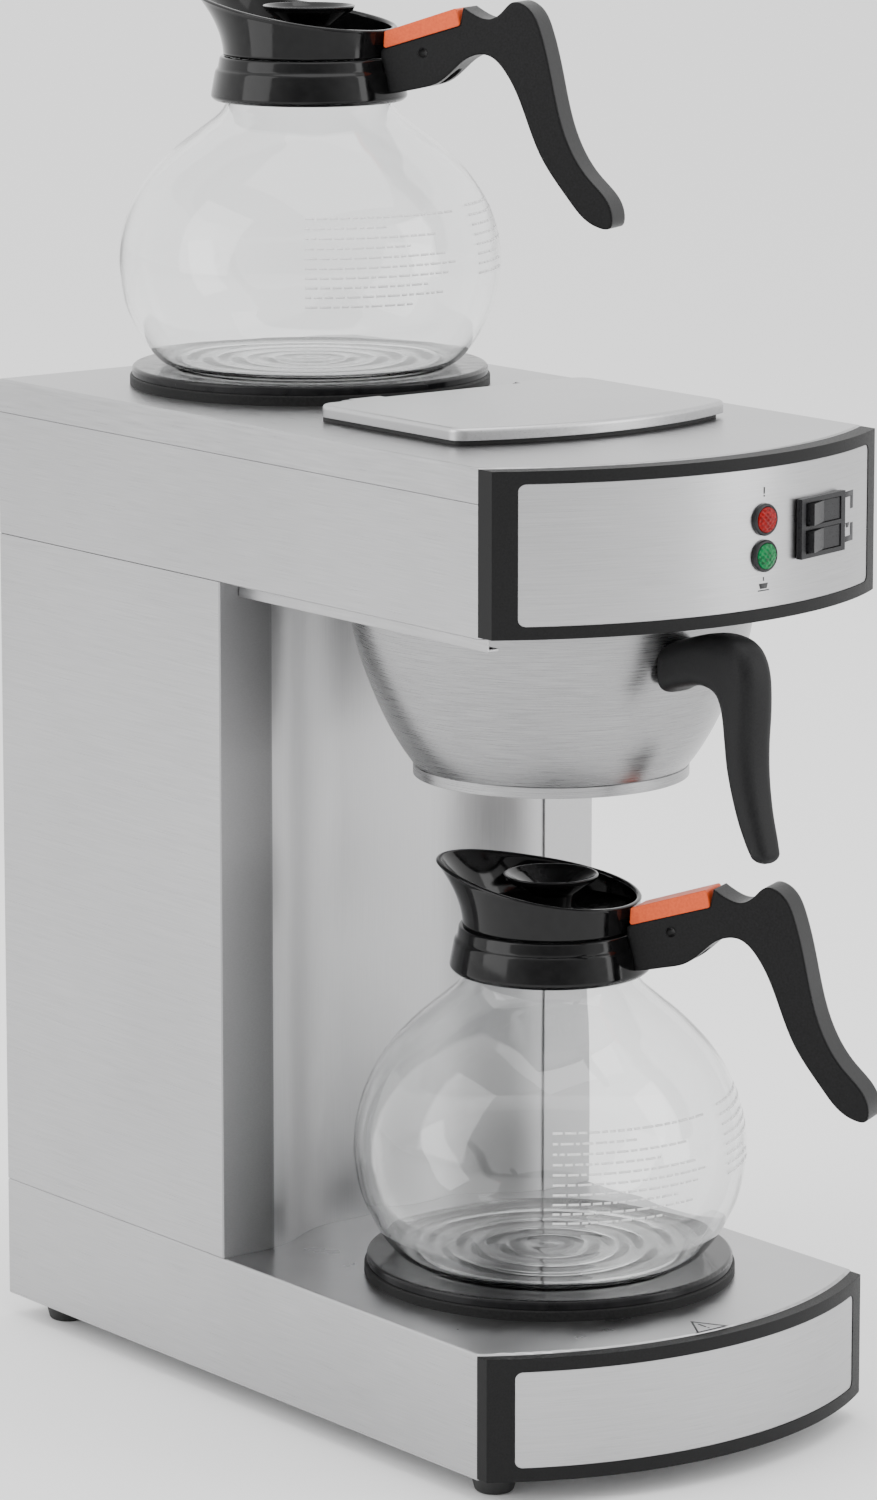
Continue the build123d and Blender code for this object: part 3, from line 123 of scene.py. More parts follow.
# Casings: stainless sheet, folded and spot welded, with a fine grain rolled along one direction.
# Every panel takes the same finish, turned to suit the way its sheet runs.
class Maker:
    """Builds a material's nodes one after another, with the shader at the end."""

    def __init__(self, name):
        self.material = bpy.data.materials.new(name)
        self.material.use_nodes = True
        self.tree = self.material.node_tree
        self.shader = self.tree.nodes["Principled BSDF"]
        self.coords = self.node("ShaderNodeTexCoord").outputs["Object"]

    def node(self, kind, **settings):
        """A node with its properties set; names with a capital first letter set input sockets."""
        made = self.tree.nodes.new(kind)
        for key, value in settings.items():
            if key[0].isupper():
                made.inputs[key].default_value = value
            else:
                setattr(made, key, value)
        return made

    def link(self, source, target):
        self.tree.links.new(source, target)

    def set(self, **values):
        """Constants on the shader's own sockets, written with underscores for spaces."""
        for key, value in values.items():
            self.shader.inputs[key.replace("_", " ")].default_value = value

    def noise(self, scale, detail=2.0, stretch=(1.0, 1.0, 1.0), rough=0.5):
        """Noise in metres on the piece, stretched along the axes given small numbers."""
        mapping = self.node("ShaderNodeMapping")
        mapping.inputs["Scale"].default_value = stretch
        self.link(self.coords, mapping.inputs["Vector"])
        noise = self.node("ShaderNodeTexNoise", Scale=scale, Detail=detail, Roughness=rough)
        self.link(mapping.outputs["Vector"], noise.inputs["Vector"])
        return noise.outputs["Fac"]

    def spread(self, source, low, high):
        """Maps 0.3 to 0.7 of a noise onto low to high."""
        ranged = self.node("ShaderNodeMapRange")
        ranged.inputs["From Min"].default_value = 0.3
        ranged.inputs["From Max"].default_value = 0.7
        ranged.inputs["To Min"].default_value = low
        ranged.inputs["To Max"].default_value = high
        self.link(source, ranged.inputs["Value"])
        return ranged.outputs["Result"]

    def colours(self, source, dark, light):
        """Two colours mixed by a noise."""
        ramp = self.node("ShaderNodeValToRGB")
        ramp.color_ramp.elements[0].position = 0.3
        ramp.color_ramp.elements[1].position = 0.7
        ramp.color_ramp.elements[0].color = (*dark, 1.0)
        ramp.color_ramp.elements[1].color = (*light, 1.0)
        self.link(source, ramp.inputs["Fac"])
        self.link(ramp.outputs["Color"], self.shader.inputs["Base Color"])

    def bump(self, source, height, edge=0.0):
        """Raises the surface by a noise, over edges rounded by a small radius."""
        bump = self.node("ShaderNodeBump", Distance=height, Strength=1.0)
        self.link(source, bump.inputs["Height"])
        if edge:
            rounding = self.node("ShaderNodeBevel", samples=4, Radius=edge)
            self.link(rounding.outputs["Normal"], bump.inputs["Normal"])
        self.link(bump.outputs["Normal"], self.shader.inputs["Normal"])


sheet_dark = (0.37, 0.37, 0.375)
sheet_light = (0.50, 0.50, 0.505)
sheet_rough = (0.27, 0.37)
sheet_edge = 0.0006
line_scale = 3200.0
line_height = 0.0000022


def brushed_steel(name, grain, dark=sheet_dark, light=sheet_light, rough=sheet_rough, edge=sheet_edge):
    """Stainless sheet: fine lines one way in colour, roughness and height, over faint clouding."""
    steel = Maker(name)
    lines = steel.noise(line_scale, 3.0, grain)
    clouds = steel.noise(7.0, 2.0)
    soft = steel.node("ShaderNodeMath", operation="MULTIPLY_ADD")
    steel.link(clouds, soft.inputs[0])
    steel.link(steel.spread(lines, 0.24, 0.46), soft.inputs[2])
    soft.inputs[1].default_value = 0.3
    steel.colours(soft.outputs[0], dark, light)
    steel.link(steel.spread(lines, *rough), steel.shader.inputs["Roughness"])
    steel.bump(lines, line_height, edge)
    steel.set(Metallic=1.0)
    return steel


def finish_node(names, material):
    """Gives CAD nodes a material in all their slots."""
    for name in names:
        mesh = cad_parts[name].data
        mesh.materials.clear()
        mesh.materials.append(material)


upright_steel = brushed_steel("brushed_steel_upright", (0.012, 0.012, 1.0))
finish_node(["base_shell", "base_bottom_plate", "housing_shell"], upright_steel.material)
deck_steel = brushed_steel("brushed_steel_deck", (1.0, 0.012, 0.3))
finish_node(["top_cover", "basket_rail_left", "basket_rail_right"], deck_steel.material)
splash_steel = brushed_steel(
    "brushed_steel_splash", (1.0, 1.0, 0.01), (0.42, 0.42, 0.425), (0.52, 0.52, 0.525), (0.42, 0.52)
)
finish_node(["column_splash"], splash_steel.material)

# Column: the same sheet, bent into one tall box round the shaft and open between its two front strips.
# The strips are ground upright and duller, and carry painted shade: the left one is painted darker,
# deepening towards the hollow as a painted shadow of the bay.
column_steel_painted_shade = brushed_steel("brushed_steel_column_painted_shade", (0.3, 0.012, 1.0))
column_place = column_steel_painted_shade.node("ShaderNodeSeparateXYZ")
column_steel_painted_shade.link(column_steel_painted_shade.coords, column_place.inputs[0])
strip_edge = column_steel_painted_shade.node("ShaderNodeMapRange")
column_low, column_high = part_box("column_shell")
strip_depth = 0.0011
strip_fade = 0.0004
strip_edge.inputs["From Min"].default_value = column_low.y + strip_depth
strip_edge.inputs["From Max"].default_value = column_low.y + strip_depth + strip_fade
strip_edge.inputs["To Min"].default_value = 1.0
strip_edge.inputs["To Max"].default_value = 0.0
column_steel_painted_shade.link(column_place.outputs["Y"], strip_edge.inputs["Value"])
# Painted shade: a ramp across the column sets the strips' colour, darkest on the left strip by the
# hollow.
strip_painted_shade = column_steel_painted_shade.node("ShaderNodeValToRGB")
strip_painted_shade_tones = strip_painted_shade.color_ramp.elements
strip_painted_shade_tones[0].color = (0.33, 0.33, 0.335, 1.0)
strip_painted_shade_tones[1].color = (0.50, 0.50, 0.505, 1.0)
for place, tone in ((0.125, 0.22), (0.16, 0.50)):
    strip_painted_shade_tones.new(place).color = (tone, tone, tone * 1.01, 1.0)
strip_painted_shade_across = column_steel_painted_shade.node("ShaderNodeMapRange")
strip_painted_shade_across.inputs["From Min"].default_value = column_low.x
strip_painted_shade_across.inputs["From Max"].default_value = column_high.x
column_steel_painted_shade.link(column_place.outputs["X"], strip_painted_shade_across.inputs["Value"])
column_steel_painted_shade.link(strip_painted_shade_across.outputs["Result"], strip_painted_shade.inputs["Fac"])
# The painted shade takes the place of the grain colour on the strips' front faces.
strip_painted_shade_mix = column_steel_painted_shade.node("ShaderNodeMix", data_type="RGBA")
column_steel_painted_shade.link(strip_edge.outputs["Result"], strip_painted_shade_mix.inputs["Factor"])
column_steel_painted_shade.link(column_steel_painted_shade.shader.inputs["Base Color"].links[0].from_socket, strip_painted_shade_mix.inputs[6])
column_steel_painted_shade.link(strip_painted_shade.outputs["Color"], strip_painted_shade_mix.inputs[7])
column_steel_painted_shade.link(strip_painted_shade_mix.outputs[2], column_steel_painted_shade.shader.inputs["Base Color"])
strip_haze = column_steel_painted_shade.node("ShaderNodeMath", operation="MULTIPLY_ADD")
strip_dullness = 0.28
strip_haze.inputs[1].default_value = strip_dullness
column_steel_painted_shade.link(strip_edge.outputs["Result"], strip_haze.inputs[0])
column_steel_painted_shade.link(column_steel_painted_shade.shader.inputs["Roughness"].links[0].from_socket, strip_haze.inputs[2])
column_steel_painted_shade.link(strip_haze.outputs[0], column_steel_painted_shade.shader.inputs["Roughness"])
finish_node(["column_shell"], column_steel_painted_shade.material)

# Fascias: charcoal frames, moulded with a fine spark texture and clipped over the casings' open fronts.
# A curved steel insert is let into each of them.
charcoal = Maker("charcoal_plastic")
charcoal_grain = charcoal.noise(1400.0, 3.0)
charcoal.colours(charcoal_grain, (0.006, 0.006, 0.0062), (0.011, 0.011, 0.0113))
charcoal.link(charcoal.spread(charcoal_grain, 0.42, 0.58), charcoal.shader.inputs["Roughness"])
charcoal.set(Specular_IOR_Level=0.15)
charcoal.bump(charcoal_grain, 0.00004, 0.0005)
finish_node(["upper_fascia_frame", "lower_fascia_frame"], charcoal.material)
insert_steel = brushed_steel(
    "brushed_steel_insert", (0.012, 0.012, 1.0), (0.38, 0.38, 0.385), (0.50, 0.50, 0.505), edge=0.0004
)
finish_node(["upper_fascia_insert", "lower_fascia_insert"], insert_steel.material)

# Warmers: a matt black moulded ring that sits on the deck, and a pressed plate let into it.
# The plate is steel with a glossy black non-stick coating, clamped down on its element.
ring_black = Maker("warmer_ring_black")
ring_grain = ring_black.noise(900.0, 3.0)
ring_black.colours(ring_grain, (0.006, 0.006, 0.006), (0.013, 0.013, 0.013))
ring_black.set(Specular_IOR_Level=0.14)
ring_black.link(ring_black.spread(ring_grain, 0.45, 0.6), ring_black.shader.inputs["Roughness"])
ring_black.bump(ring_grain, 0.00005, 0.0005)
finish_node(["lower_warmer_ring", "upper_warmer_ring"], ring_black.material)
plate_black = Maker("warmer_plate_black")
plate_marks = plate_black.noise(160.0, 6.0)
plate_black.colours(plate_marks, (0.004, 0.004, 0.0045), (0.009, 0.009, 0.0095))
plate_black.set(Specular_IOR_Level=0.18)
plate_black.link(plate_black.spread(plate_marks, 0.10, 0.22), plate_black.shader.inputs["Roughness"])
plate_black.bump(plate_black.noise(60.0, 2.0), 0.00004, 0.0006)
finish_node(["lower_warmer_plate", "upper_warmer_plate"], plate_black.material)
element_grey = brushed_steel("element_grey", (1.0, 1.0, 1.0), (0.35, 0.34, 0.32), (0.5, 0.49, 0.47))
finish_node(["lower_warmer_element", "upper_warmer_element", "tank_heater"], element_grey.material)


# Controls: two lamps, each a faceted plastic lens in a dark rim, and a double rocker switch.
# All of them snap into holes in the upper fascia's insert.
def shown(name, vertices, faces, body, material, replaces=()):
    """A mesh from arrays, smooth shaded, that rides on a body and takes its finish from a slot."""
    mesh = bpy.data.meshes.new(name)
    mesh.from_pydata(np.asarray(vertices).reshape(-1, 3).tolist(), [], faces)
    mesh.polygons.foreach_set("use_smooth", np.ones(len(mesh.polygons), dtype=bool))
    mesh.materials.append(material)
    piece = bpy.data.objects.new(name, mesh)
    bpy.context.scene.collection.objects.link(piece)
    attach(piece, body)
    if replaces:
        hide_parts(*replaces)
    return piece


def grid_faces(rows, columns, close_rows=False):
    """Quads between neighbouring rows and columns; columns always close into a ring."""
    count = rows if close_rows else rows - 1
    row = np.arange(count)[:, None]
    column = np.arange(columns)[None, :]
    after = (row + 1) % rows
    beside = (column + 1) % columns
    here, there = row * columns, after * columns
    quads = [here + column, here + beside, there + beside, there + column]
    return np.stack(np.broadcast_arrays(*quads), -1).reshape(-1, 4).tolist()


def capped(points):
    """Vertices and faces of a tube of rings whose two ends are closed by a fan to the ring's middle."""
    rows, columns = points.shape[:2]
    middles = np.stack([points[0].mean(0), points[-1].mean(0)])
    vertices = np.concatenate([points.reshape(-1, 3), middles])
    ring = np.arange(columns)
    first = np.stack([np.full(columns, rows * columns), np.roll(ring, -1), ring], -1)
    last_ring = (rows - 1) * columns + ring
    last = np.stack([np.full(columns, rows * columns + 1), last_ring, np.roll(last_ring, -1)], -1)
    return vertices, grid_faces(rows, columns) + first.tolist() + last.tolist()


def faces_out(piece):
    """Turns all faces outward on a closed shape."""
    shape = bmesh.new()
    shape.from_mesh(piece.data)
    bmesh.ops.recalc_face_normals(shape, faces=shape.faces)
    shape.to_mesh(piece.data)
    shape.free()


bow_radius = 0.18016
insert_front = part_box("upper_fascia_insert")[0].y


def on_front(across, height, lift):
    """Points on an upright cylinder, the bowed front.

    Across is the distance from the middle and gives the turn by its arc sine. Lift adds to the radius."""
    lean = np.arcsin(across / bow_radius)
    reach = bow_radius + lift
    y = insert_front + bow_radius - reach * np.cos(lean)
    return np.stack([reach * np.sin(lean), y, height + 0.0 * lean], -1)


def on_disc(across, height, side, rise, lift):
    """Points on a plane that touches the bowed front at across.

    Side and rise are the distances within the plane, and lift the distance off it."""
    lean = np.arcsin(across / bow_radius)
    x = across + side * cos(lean) + lift * sin(lean)
    y = insert_front + bow_radius * (1 - cos(lean)) + side * sin(lean) - lift * cos(lean)
    return np.stack([x, y, height + rise], -1)


lamp_across = 0.0143
lens_radius = 0.0053
rim_radius = 0.0067
facet = 0.0013
turn = np.linspace(0, 2 * pi, 96, endpoint=False)


def tinted_lens(name, tint, deep):
    """Clear coloured plastic, its deep and bright tints mixed by a noise, lit only by the studio."""
    lens = Maker(name)
    lens.colours(lens.noise(700.0, 2.0), deep, tint)
    lens.set(Roughness=0.15, Specular_IOR_Level=0.16)
    return lens.material


rim_black = Maker("lamp_rim_black")
rim_black.colours(rim_black.noise(900.0, 2.0), (0.010, 0.010, 0.011), (0.022, 0.022, 0.024))
rim_black.set(Roughness=0.28, Specular_IOR_Level=0.25)
lens_finishes = {
    "red_lamp": tinted_lens("red_lens", (0.30, 0.004, 0.004), (0.12, 0.001, 0.001)),
    "green_lamp": tinted_lens("green_lens", (0.001, 0.20, 0.055), (0.001, 0.06, 0.018)),
}
lens_height = 0.0030
lens_dome = 0.0010
facet_height = 0.00022
lens_base = 0.0008
rim_bore = 0.0052
rim_profile = [
    (rim_bore, 0.0),
    (rim_radius, 0.0),
    (rim_radius, 0.0012),
    (rim_radius - 0.0004, 0.0018),
    (rim_bore + 0.0006, 0.0020),
    (rim_bore, 0.0016),
]
for lamp, lens_finish in lens_finishes.items():
    low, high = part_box(lamp)
    lamp_height = (low.z + high.z) / 2
    share = np.linspace(0.02, 1.0, 26)[:, None]
    side = lens_radius * share * np.cos(turn)[None, :]
    rise = lens_radius * share * np.sin(turn)[None, :]
    cut = np.abs(((side + rise) / facet) % 2 - 1) + np.abs(((side - rise) / facet) % 2 - 1)
    lift = lens_height - lens_dome * share**2 + facet_height * cut * (share < 0.97)
    top = on_disc(lamp_across, lamp_height, side, rise, lift)
    skirt = on_disc(lamp_across, lamp_height, side[-1:], rise[-1:], lens_base + 0.0 * side[-1:])
    vertices, faces = capped(np.concatenate([top, skirt]))
    lens_piece = shown(lamp + "_lens", vertices, faces, "machine", lens_finish, (lamp,))
    faces_out(lens_piece)
    rings = []
    for radius, rim_lift in rim_profile:
        side, rise = radius * np.cos(turn), radius * np.sin(turn)
        rings.append(on_disc(lamp_across, lamp_height, side, rise, rim_lift + 0.0 * turn))
    rim_faces = grid_faces(len(rim_profile), len(turn), True)
    rim_piece = shown(lamp + "_rim", rings, rim_faces, "machine", rim_black.material)
    faces_out(rim_piece)

switch_black = Maker("switch_black")
switch_grain = switch_black.noise(1200.0, 2.0)
switch_black.colours(switch_grain, (0.010, 0.010, 0.011), (0.020, 0.020, 0.022))
switch_black.link(switch_black.spread(switch_grain, 0.26, 0.38), switch_black.shader.inputs["Roughness"])
switch_black.bump(switch_grain, 0.00002, 0.0004)
switch_black.set(Specular_IOR_Level=0.22)
finish_node(["switch_bezel", "rocker_upper", "rocker_lower"], switch_black.material)

# Signs beside the controls: plain shapes in a thin dark ink, screen printed on the upper insert.
# The print stands a hair off the steel and follows its curve.
print_ink = Maker("printed_ink")
print_ink.colours(print_ink.noise(1500.0, 2.0), (0.020, 0.020, 0.022), (0.045, 0.045, 0.047))
print_ink.set(Roughness=0.6)
print_lift = 0.00006
print_depth = 0.00005


def inked(piece):
    """Gives a flat print the thickness of its ink."""
    ink = piece.modifiers.new("ink", "SOLIDIFY")
    ink.thickness = print_depth
    ink.offset = 0.0


def printed(name, strokes):
    """Flat print of straight-sided strokes, each a list of (across, height) corners in millimetres."""
    vertices, faces = [], []
    for stroke in strokes:
        faces.append(list(range(len(vertices), len(vertices) + len(stroke))))
        vertices += stroke
    flat = np.array(vertices) / 1000.0
    points = on_front(flat[:, 0], flat[:, 1], print_lift)
    inked(shown(name, points, faces, "machine", print_ink.material))


def bar(x0, z0, x1, z1):
    """Corners of an upright rectangle."""
    return [(x0, z0), (x1, z0), (x1, z1), (x0, z1)]


def middle_height(node):
    """Height of a node's middle in millimetres."""
    low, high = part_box(node)
    return (low.z + high.z) * 500


def cup(x, z, wide, narrow, depth):
    """Corners of a cup in side view, with its rim at height z and its narrower foot depth below."""
    return [(x - wide, z), (x - narrow, z - depth), (x + narrow, z - depth), (x + wide, z)]


red_z = middle_height("red_lamp")
green_z = middle_height("green_lamp")
switch_z = middle_height("switch_bezel")
lamp_x = lamp_across * 1000
alert_bar = bar(lamp_x - 0.35, red_z + 10.6, lamp_x + 0.35, red_z + 13.4)
alert_dot = bar(lamp_x - 0.35, red_z + 9.4, lamp_x + 0.35, red_z + 10.1)
printed("alert_sign", [alert_bar, alert_dot])
saucer = bar(lamp_x - 3.2, green_z - 14.6, lamp_x + 3.2, green_z - 14.1)
steam = bar(lamp_x - 0.3, green_z - 10.4, lamp_x + 0.3, green_z - 8.8)
printed("cup_sign", [cup(lamp_x, green_z - 11.4, 2.6, 1.9, 2.2), saucer, steam])
mark_x = 70.5
mark_stem = mark_x + 5.2
mark_end = mark_x + 7.6
printed(
    "switch_brackets",
    [
        bar(mark_x, switch_z + 8.2, mark_end, switch_z + 10.6),
        bar(mark_stem, switch_z + 3.0, mark_end, switch_z + 8.2),
        bar(mark_x, switch_z - 10.6, mark_end, switch_z - 8.2),
        bar(mark_stem, switch_z - 8.2, mark_end, switch_z - 3.0),
        cup(mark_x + 2.5, switch_z - 2.6, 1.6, 0.9, 2.0),
    ],
)

# Sign on the lower deck: a thin triangle outline round a short bar and a dot.
# It is printed flat on the base casing's top, ahead of the warmer.
deck_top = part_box("base_shell")[1].z
sign_corners = np.array([(-3.0, -163.8), (-11.5, -178.5), (5.5, -178.5)])
sign_middle = sign_corners.mean(0)
sign_share = 0.82
sign_inner = sign_middle + sign_share * (sign_corners - sign_middle)
sign_bars = bar(-3.4, -174.0, -2.6, -169.0) + bar(-3.4, -176.2, -2.6, -175.2)
sign_flat = np.concatenate([sign_corners, sign_inner, np.array(sign_bars)]) / 1000.0
sign_points = np.insert(sign_flat, 2, deck_top + print_lift, axis=1)
sign_faces = [[0, 3, 4, 1], [1, 4, 5, 2], [2, 5, 3, 0], [6, 7, 8, 9], [10, 11, 12, 13]]
inked(shown("deck_sign", sign_points, sign_faces, "machine", print_ink.material))

# Fill lid: a folded steel plate with a deeper satin grain, which closes on a rubber seal.
# A plated pin through its knuckles lets it turn up; feet and cable gland are the same rubber.
lid_steel = brushed_steel(
    "brushed_steel_lid", (0.012, 1.0, 1.0), (0.40, 0.40, 0.405), (0.56, 0.56, 0.565)
)
finish_node(["lid"], lid_steel.material)
rubber = Maker("black_rubber")
rubber_grain = rubber.noise(700.0, 3.0)
rubber.colours(rubber_grain, (0.010, 0.010, 0.010), (0.022, 0.022, 0.022))
rubber.link(rubber.spread(rubber_grain, 0.55, 0.7), rubber.shader.inputs["Roughness"])
rubber.bump(rubber_grain, 0.00005, 0.0005)
feet = ["foot_front_left", "foot_front_right", "foot_rear_left", "foot_rear_right"]
finish_node(["fill_gasket", "cable_gland"] + feet, rubber.material)
plated = Maker("bright_plating")
plated_marks = plated.noise(500.0, 3.0)
plated.colours(plated_marks, (0.55, 0.55, 0.56), (0.75, 0.75, 0.76))
plated.link(plated.spread(plated_marks, 0.15, 0.3), plated.shader.inputs["Roughness"])
plated.set(Metallic=1.0)
finish_node(["lid_hinge_pin", "foot_screws", "rear_screws", "basket_handle_screws"], plated.material)

# Water path: tank, basin and spray head pressed from mill-finish sheet, joined by milky silicone tubes.
# A cream moulded terminal block takes the wires beside the tank.
tank_steel = brushed_steel(
    "mill_steel", (1.0, 1.0, 1.0), (0.38, 0.38, 0.385), (0.48, 0.48, 0.485), (0.3, 0.45)
)
finish_node(["water_tank", "fill_basin", "spray_head", "filter_rack"], tank_steel.material)
silicone = Maker("milky_silicone")
silicone.colours(silicone.noise(80.0, 2.0), (0.55, 0.52, 0.48), (0.68, 0.66, 0.62))
silicone.set(Roughness=0.45)
finish_node(["fill_tube", "outlet_tube"], silicone.material)
cream = Maker("cream_plastic")
cream.colours(cream.noise(300.0, 2.0), (0.62, 0.58, 0.48), (0.72, 0.69, 0.60))
cream.set(Roughness=0.5)
finish_node(["terminal_block"], cream.material)

# Brew basket: a stainless bowl spun over a former, with fine rings left by the tool.
# Its grip is one matt black moulding, bolted to the bowl below the flange.
spun_steel = brushed_steel(
    "spun_steel", (0.02, 0.02, 1.0), (0.22, 0.22, 0.223), (0.40, 0.40, 0.405), (0.24, 0.34), 0.0003
)
finish_node(["basket_bowl"], spun_steel.material)


def smooth(stations, count):
    """Even samples of a smooth curve through rows of numbers.

    Between two rows it is the cubic whose slopes are half the difference of each row's neighbours."""
    rows = np.asarray(stations, float)
    ends = np.concatenate([[2 * rows[0] - rows[1]], rows, [2 * rows[-1] - rows[-2]]])
    place = np.linspace(0, len(rows) - 1, count)
    piece = np.minimum(place.astype(int), len(rows) - 2)
    t = (place - piece)[:, None]
    a, b, c, d = ends[piece], ends[piece + 1], ends[piece + 2], ends[piece + 3]
    bend = 2 * a - 5 * b + 4 * c - d
    twist = 3 * b - a - 3 * c + d
    return 0.5 * (2 * b + (c - a) * t + bend * t**2 + twist * t**3)


def moulded_bar(stations, place, count=90, around=40, squareness=3.0, tip=6):
    """A bar between two side-view edges; each station gives outer edge, inner edge and half width.

    The section is a superellipse whose height joins the edges, and the last rows shrink by a sine."""
    rows = smooth(stations, count)
    outer, inner, half = rows[:, 0:2], rows[:, 2:4], rows[:, 4]
    middle = (outer + inner) / 2
    arm = (outer - inner) / 2
    tip_turn = np.linspace(0.5 * pi, 0.08 * pi, tip)
    round_tip = np.sin(tip_turn)
    ahead = (middle[-1] - middle[-2]) / np.linalg.norm(middle[-1] - middle[-2])
    run = np.cos(tip_turn) * np.linalg.norm(arm[-1])
    middle = np.concatenate([middle, middle[-1] + run[1:, None] * ahead])
    arm = np.concatenate([arm, arm[-1] * round_tip[1:, None]])
    half = np.concatenate([half, half[-1] * round_tip[1:]])
    angle = np.linspace(0, 2 * pi, around, endpoint=False)
    across = np.sign(np.cos(angle)) * np.abs(np.cos(angle)) ** (2 / squareness)
    along = np.sign(np.sin(angle)) * np.abs(np.sin(angle)) ** (2 / squareness)
    flat = middle[:, None, :] + arm[:, None, :] * along[None, :, None]
    return place(flat[..., 0], flat[..., 1], half[:, None] * across[None, :])


basket_low, basket_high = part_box("basket_bowl")
basket_middle_y = (basket_low.y + basket_high.y) / 2


def grip_place(reach, rise, side):
    """Grip stations are millimetres in front of the basket's middle and above its flange."""
    return np.stack([side / 1000, basket_middle_y - reach / 1000, basket_high.z + rise / 1000], -1)


grip_stations = [
    (84.2, -7.0, 84.2, -28.0, 12.0),
    (90.0, -5.0, 90.0, -25.5, 10.8),
    (102.0, -1.4, 101.0, -22.8, 9.8),
    (114.0, 0.4, 108.5, -23.2, 9.4),
    (125.0, -0.8, 114.0, -25.6, 9.4),
    (131.8, -5.5, 117.0, -30.0, 9.4),
    (135.2, -14.0, 118.6, -36.0, 9.3),
    (135.8, -27.0, 119.9, -45.0, 9.1),
    (135.0, -42.0, 121.4, -55.0, 8.6),
    (135.8, -56.0, 124.0, -65.0, 7.9),
    (138.6, -70.0, 127.6, -75.5, 7.1),
    (142.0, -81.0, 132.0, -84.0, 6.5),
    (143.6, -86.0, 134.5, -88.0, 6.0),
]
grip_black = Maker("grip_black")
grip_grain = grip_black.noise(1300.0, 3.0)
grip_black.colours(grip_grain, (0.005, 0.005, 0.0055), (0.011, 0.011, 0.0115))
grip_black.set(Specular_IOR_Level=0.16)
grip_black.link(grip_black.spread(grip_grain, 0.40, 0.55), grip_black.shader.inputs["Roughness"])
grip_black.bump(grip_grain, 0.00004)
vertices, faces = capped(moulded_bar(grip_stations, grip_place))
grip = shown("basket_grip", vertices, faces, "basket", grip_black.material, ["basket_handle"])
faces_out(grip)

# Decanters: a blown glass globe with rings in its foot, held at the neck by a glossy black collar.
# The collar carries a pouring funnel and a brew-through cup, and a satin handle with an orange tag.
glass = Maker("clear_glass")
glass.set(Base_Color=(0.985, 0.99, 0.99, 1.0), IOR=1.47, Transmission_Weight=1.0, Specular_IOR_Level=0.5)
glass_waver = glass.noise(22.0, 1.0)
glass.link(glass.spread(glass_waver, 0.0, 0.012), glass.shader.inputs["Roughness"])
glass.bump(glass_waver, 0.0004)
gloss_black = Maker("gloss_black")
gloss_marks = gloss_black.noise(260.0, 4.0)
gloss_black.colours(gloss_marks, (0.002, 0.002, 0.0022), (0.005, 0.005, 0.0052))
gloss_black.link(gloss_black.spread(gloss_marks, 0.06, 0.14), gloss_black.shader.inputs["Roughness"])
gloss_black.set(Specular_IOR_Level=0.25)
satin_black = Maker("satin_black")
satin_grain = satin_black.noise(1100.0, 3.0)
satin_black.colours(satin_grain, (0.004, 0.004, 0.0042), (0.009, 0.009, 0.0095))
satin_black.link(satin_black.spread(satin_grain, 0.30, 0.42), satin_black.shader.inputs["Roughness"])
satin_black.bump(satin_grain, 0.00003, 0.0016)
satin_black.set(Specular_IOR_Level=0.14)
finish_node(["lower_decanter_handle", "upper_decanter_handle"], satin_black.material)
tag_orange = Maker("tag_orange")
tag_grain = tag_orange.noise(900.0, 3.0)
tag_orange.colours(tag_grain, (0.66, 0.075, 0.014), (0.76, 0.105, 0.022))
tag_orange.set(Specular_IOR_Level=0.3)
tag_orange.link(tag_orange.spread(tag_grain, 0.40, 0.52), tag_orange.shader.inputs["Roughness"])
tag_orange.bump(tag_grain, 0.00003, 0.0008)
finish_node(["lower_decanter_handle_tag", "upper_decanter_handle_tag"], tag_orange.material)
finish_node(["lower_decanter_handle_screw", "upper_decanter_handle_screw"], plated.material)

handle_turn = radians(-62.7)
handle_way = np.array([cos(handle_turn), sin(handle_turn), 0.0])
handle_side = np.array([-sin(handle_turn), cos(handle_turn), 0.0])
upright = np.array([0.0, 0.0, 1.0])
collar_top = 144.0
glass_height = 149.0
wall = 1.8
full_turn = np.linspace(0, 2 * pi, 120, endpoint=False)


def rounded(corners, radius, steps=5):
    """Profile corners in millimetres, each cut by a quadratic curve that starts radius away from it."""
    corners = [np.array(corner, float) for corner in corners]
    line = []
    for before, corner, after in zip([corners[-1]] + corners[:-1], corners, corners[1:] + corners[:1]):
        to_before, to_after = before - corner, after - corner
        start = corner + to_before * min(radius / np.linalg.norm(to_before), 0.45)
        end = corner + to_after * min(radius / np.linalg.norm(to_after), 0.45)
        for t in np.linspace(0, 1, steps):
            line.append((1 - t) ** 2 * start + 2 * t * (1 - t) * corner + t**2 * end)
    return np.array(line)


def spun(profile, centre):
    """Profile of (radius, height) in millimetres turned about the upright line through centre."""
    radius, height = profile[:, 0, None] / 1000, profile[:, 1, None] / 1000
    return np.stack(
        [
            centre[0] + radius * np.cos(full_turn)[None, :],
            centre[1] + radius * np.sin(full_turn)[None, :],
            centre[2] + height + 0.0 * full_turn[None, :],
        ],
        -1,
    )


widest = 48.0
neck_start = 126.0
foot_radius = 59.0
belly = [
    (60.0, 0.0),
    (66.5, 2.2),
    (73.2, 10.0),
    (78.3, 19.0),
    (82.0, 28.0),
    (84.2, 40.0),
    (84.7, 48.0),
    (83.6, 58.0),
    (80.4, 70.0),
    (75.2, 81.0),
    (68.0, 91.5),
    (58.0, 102.0),
    (48.0, 110.5),
    (40.0, 117.5),
    (36.2, 124.0),
    (35.5, 130.0),
    (35.5, 138.0),
    (35.5, 147.0),
]


def glass_outside(drop):
    """Smooth outside of the glass, as (radius, height) in millimetres.

    Heights over the widest place shrink in proportion, so that the neck sits lower by drop."""
    outside = smooth(belly, 110)
    over = np.maximum(outside[:, 1] - widest, 0.0)
    outside[:, 1] -= drop * np.minimum(over / (neck_start - widest), 1.0)
    return outside


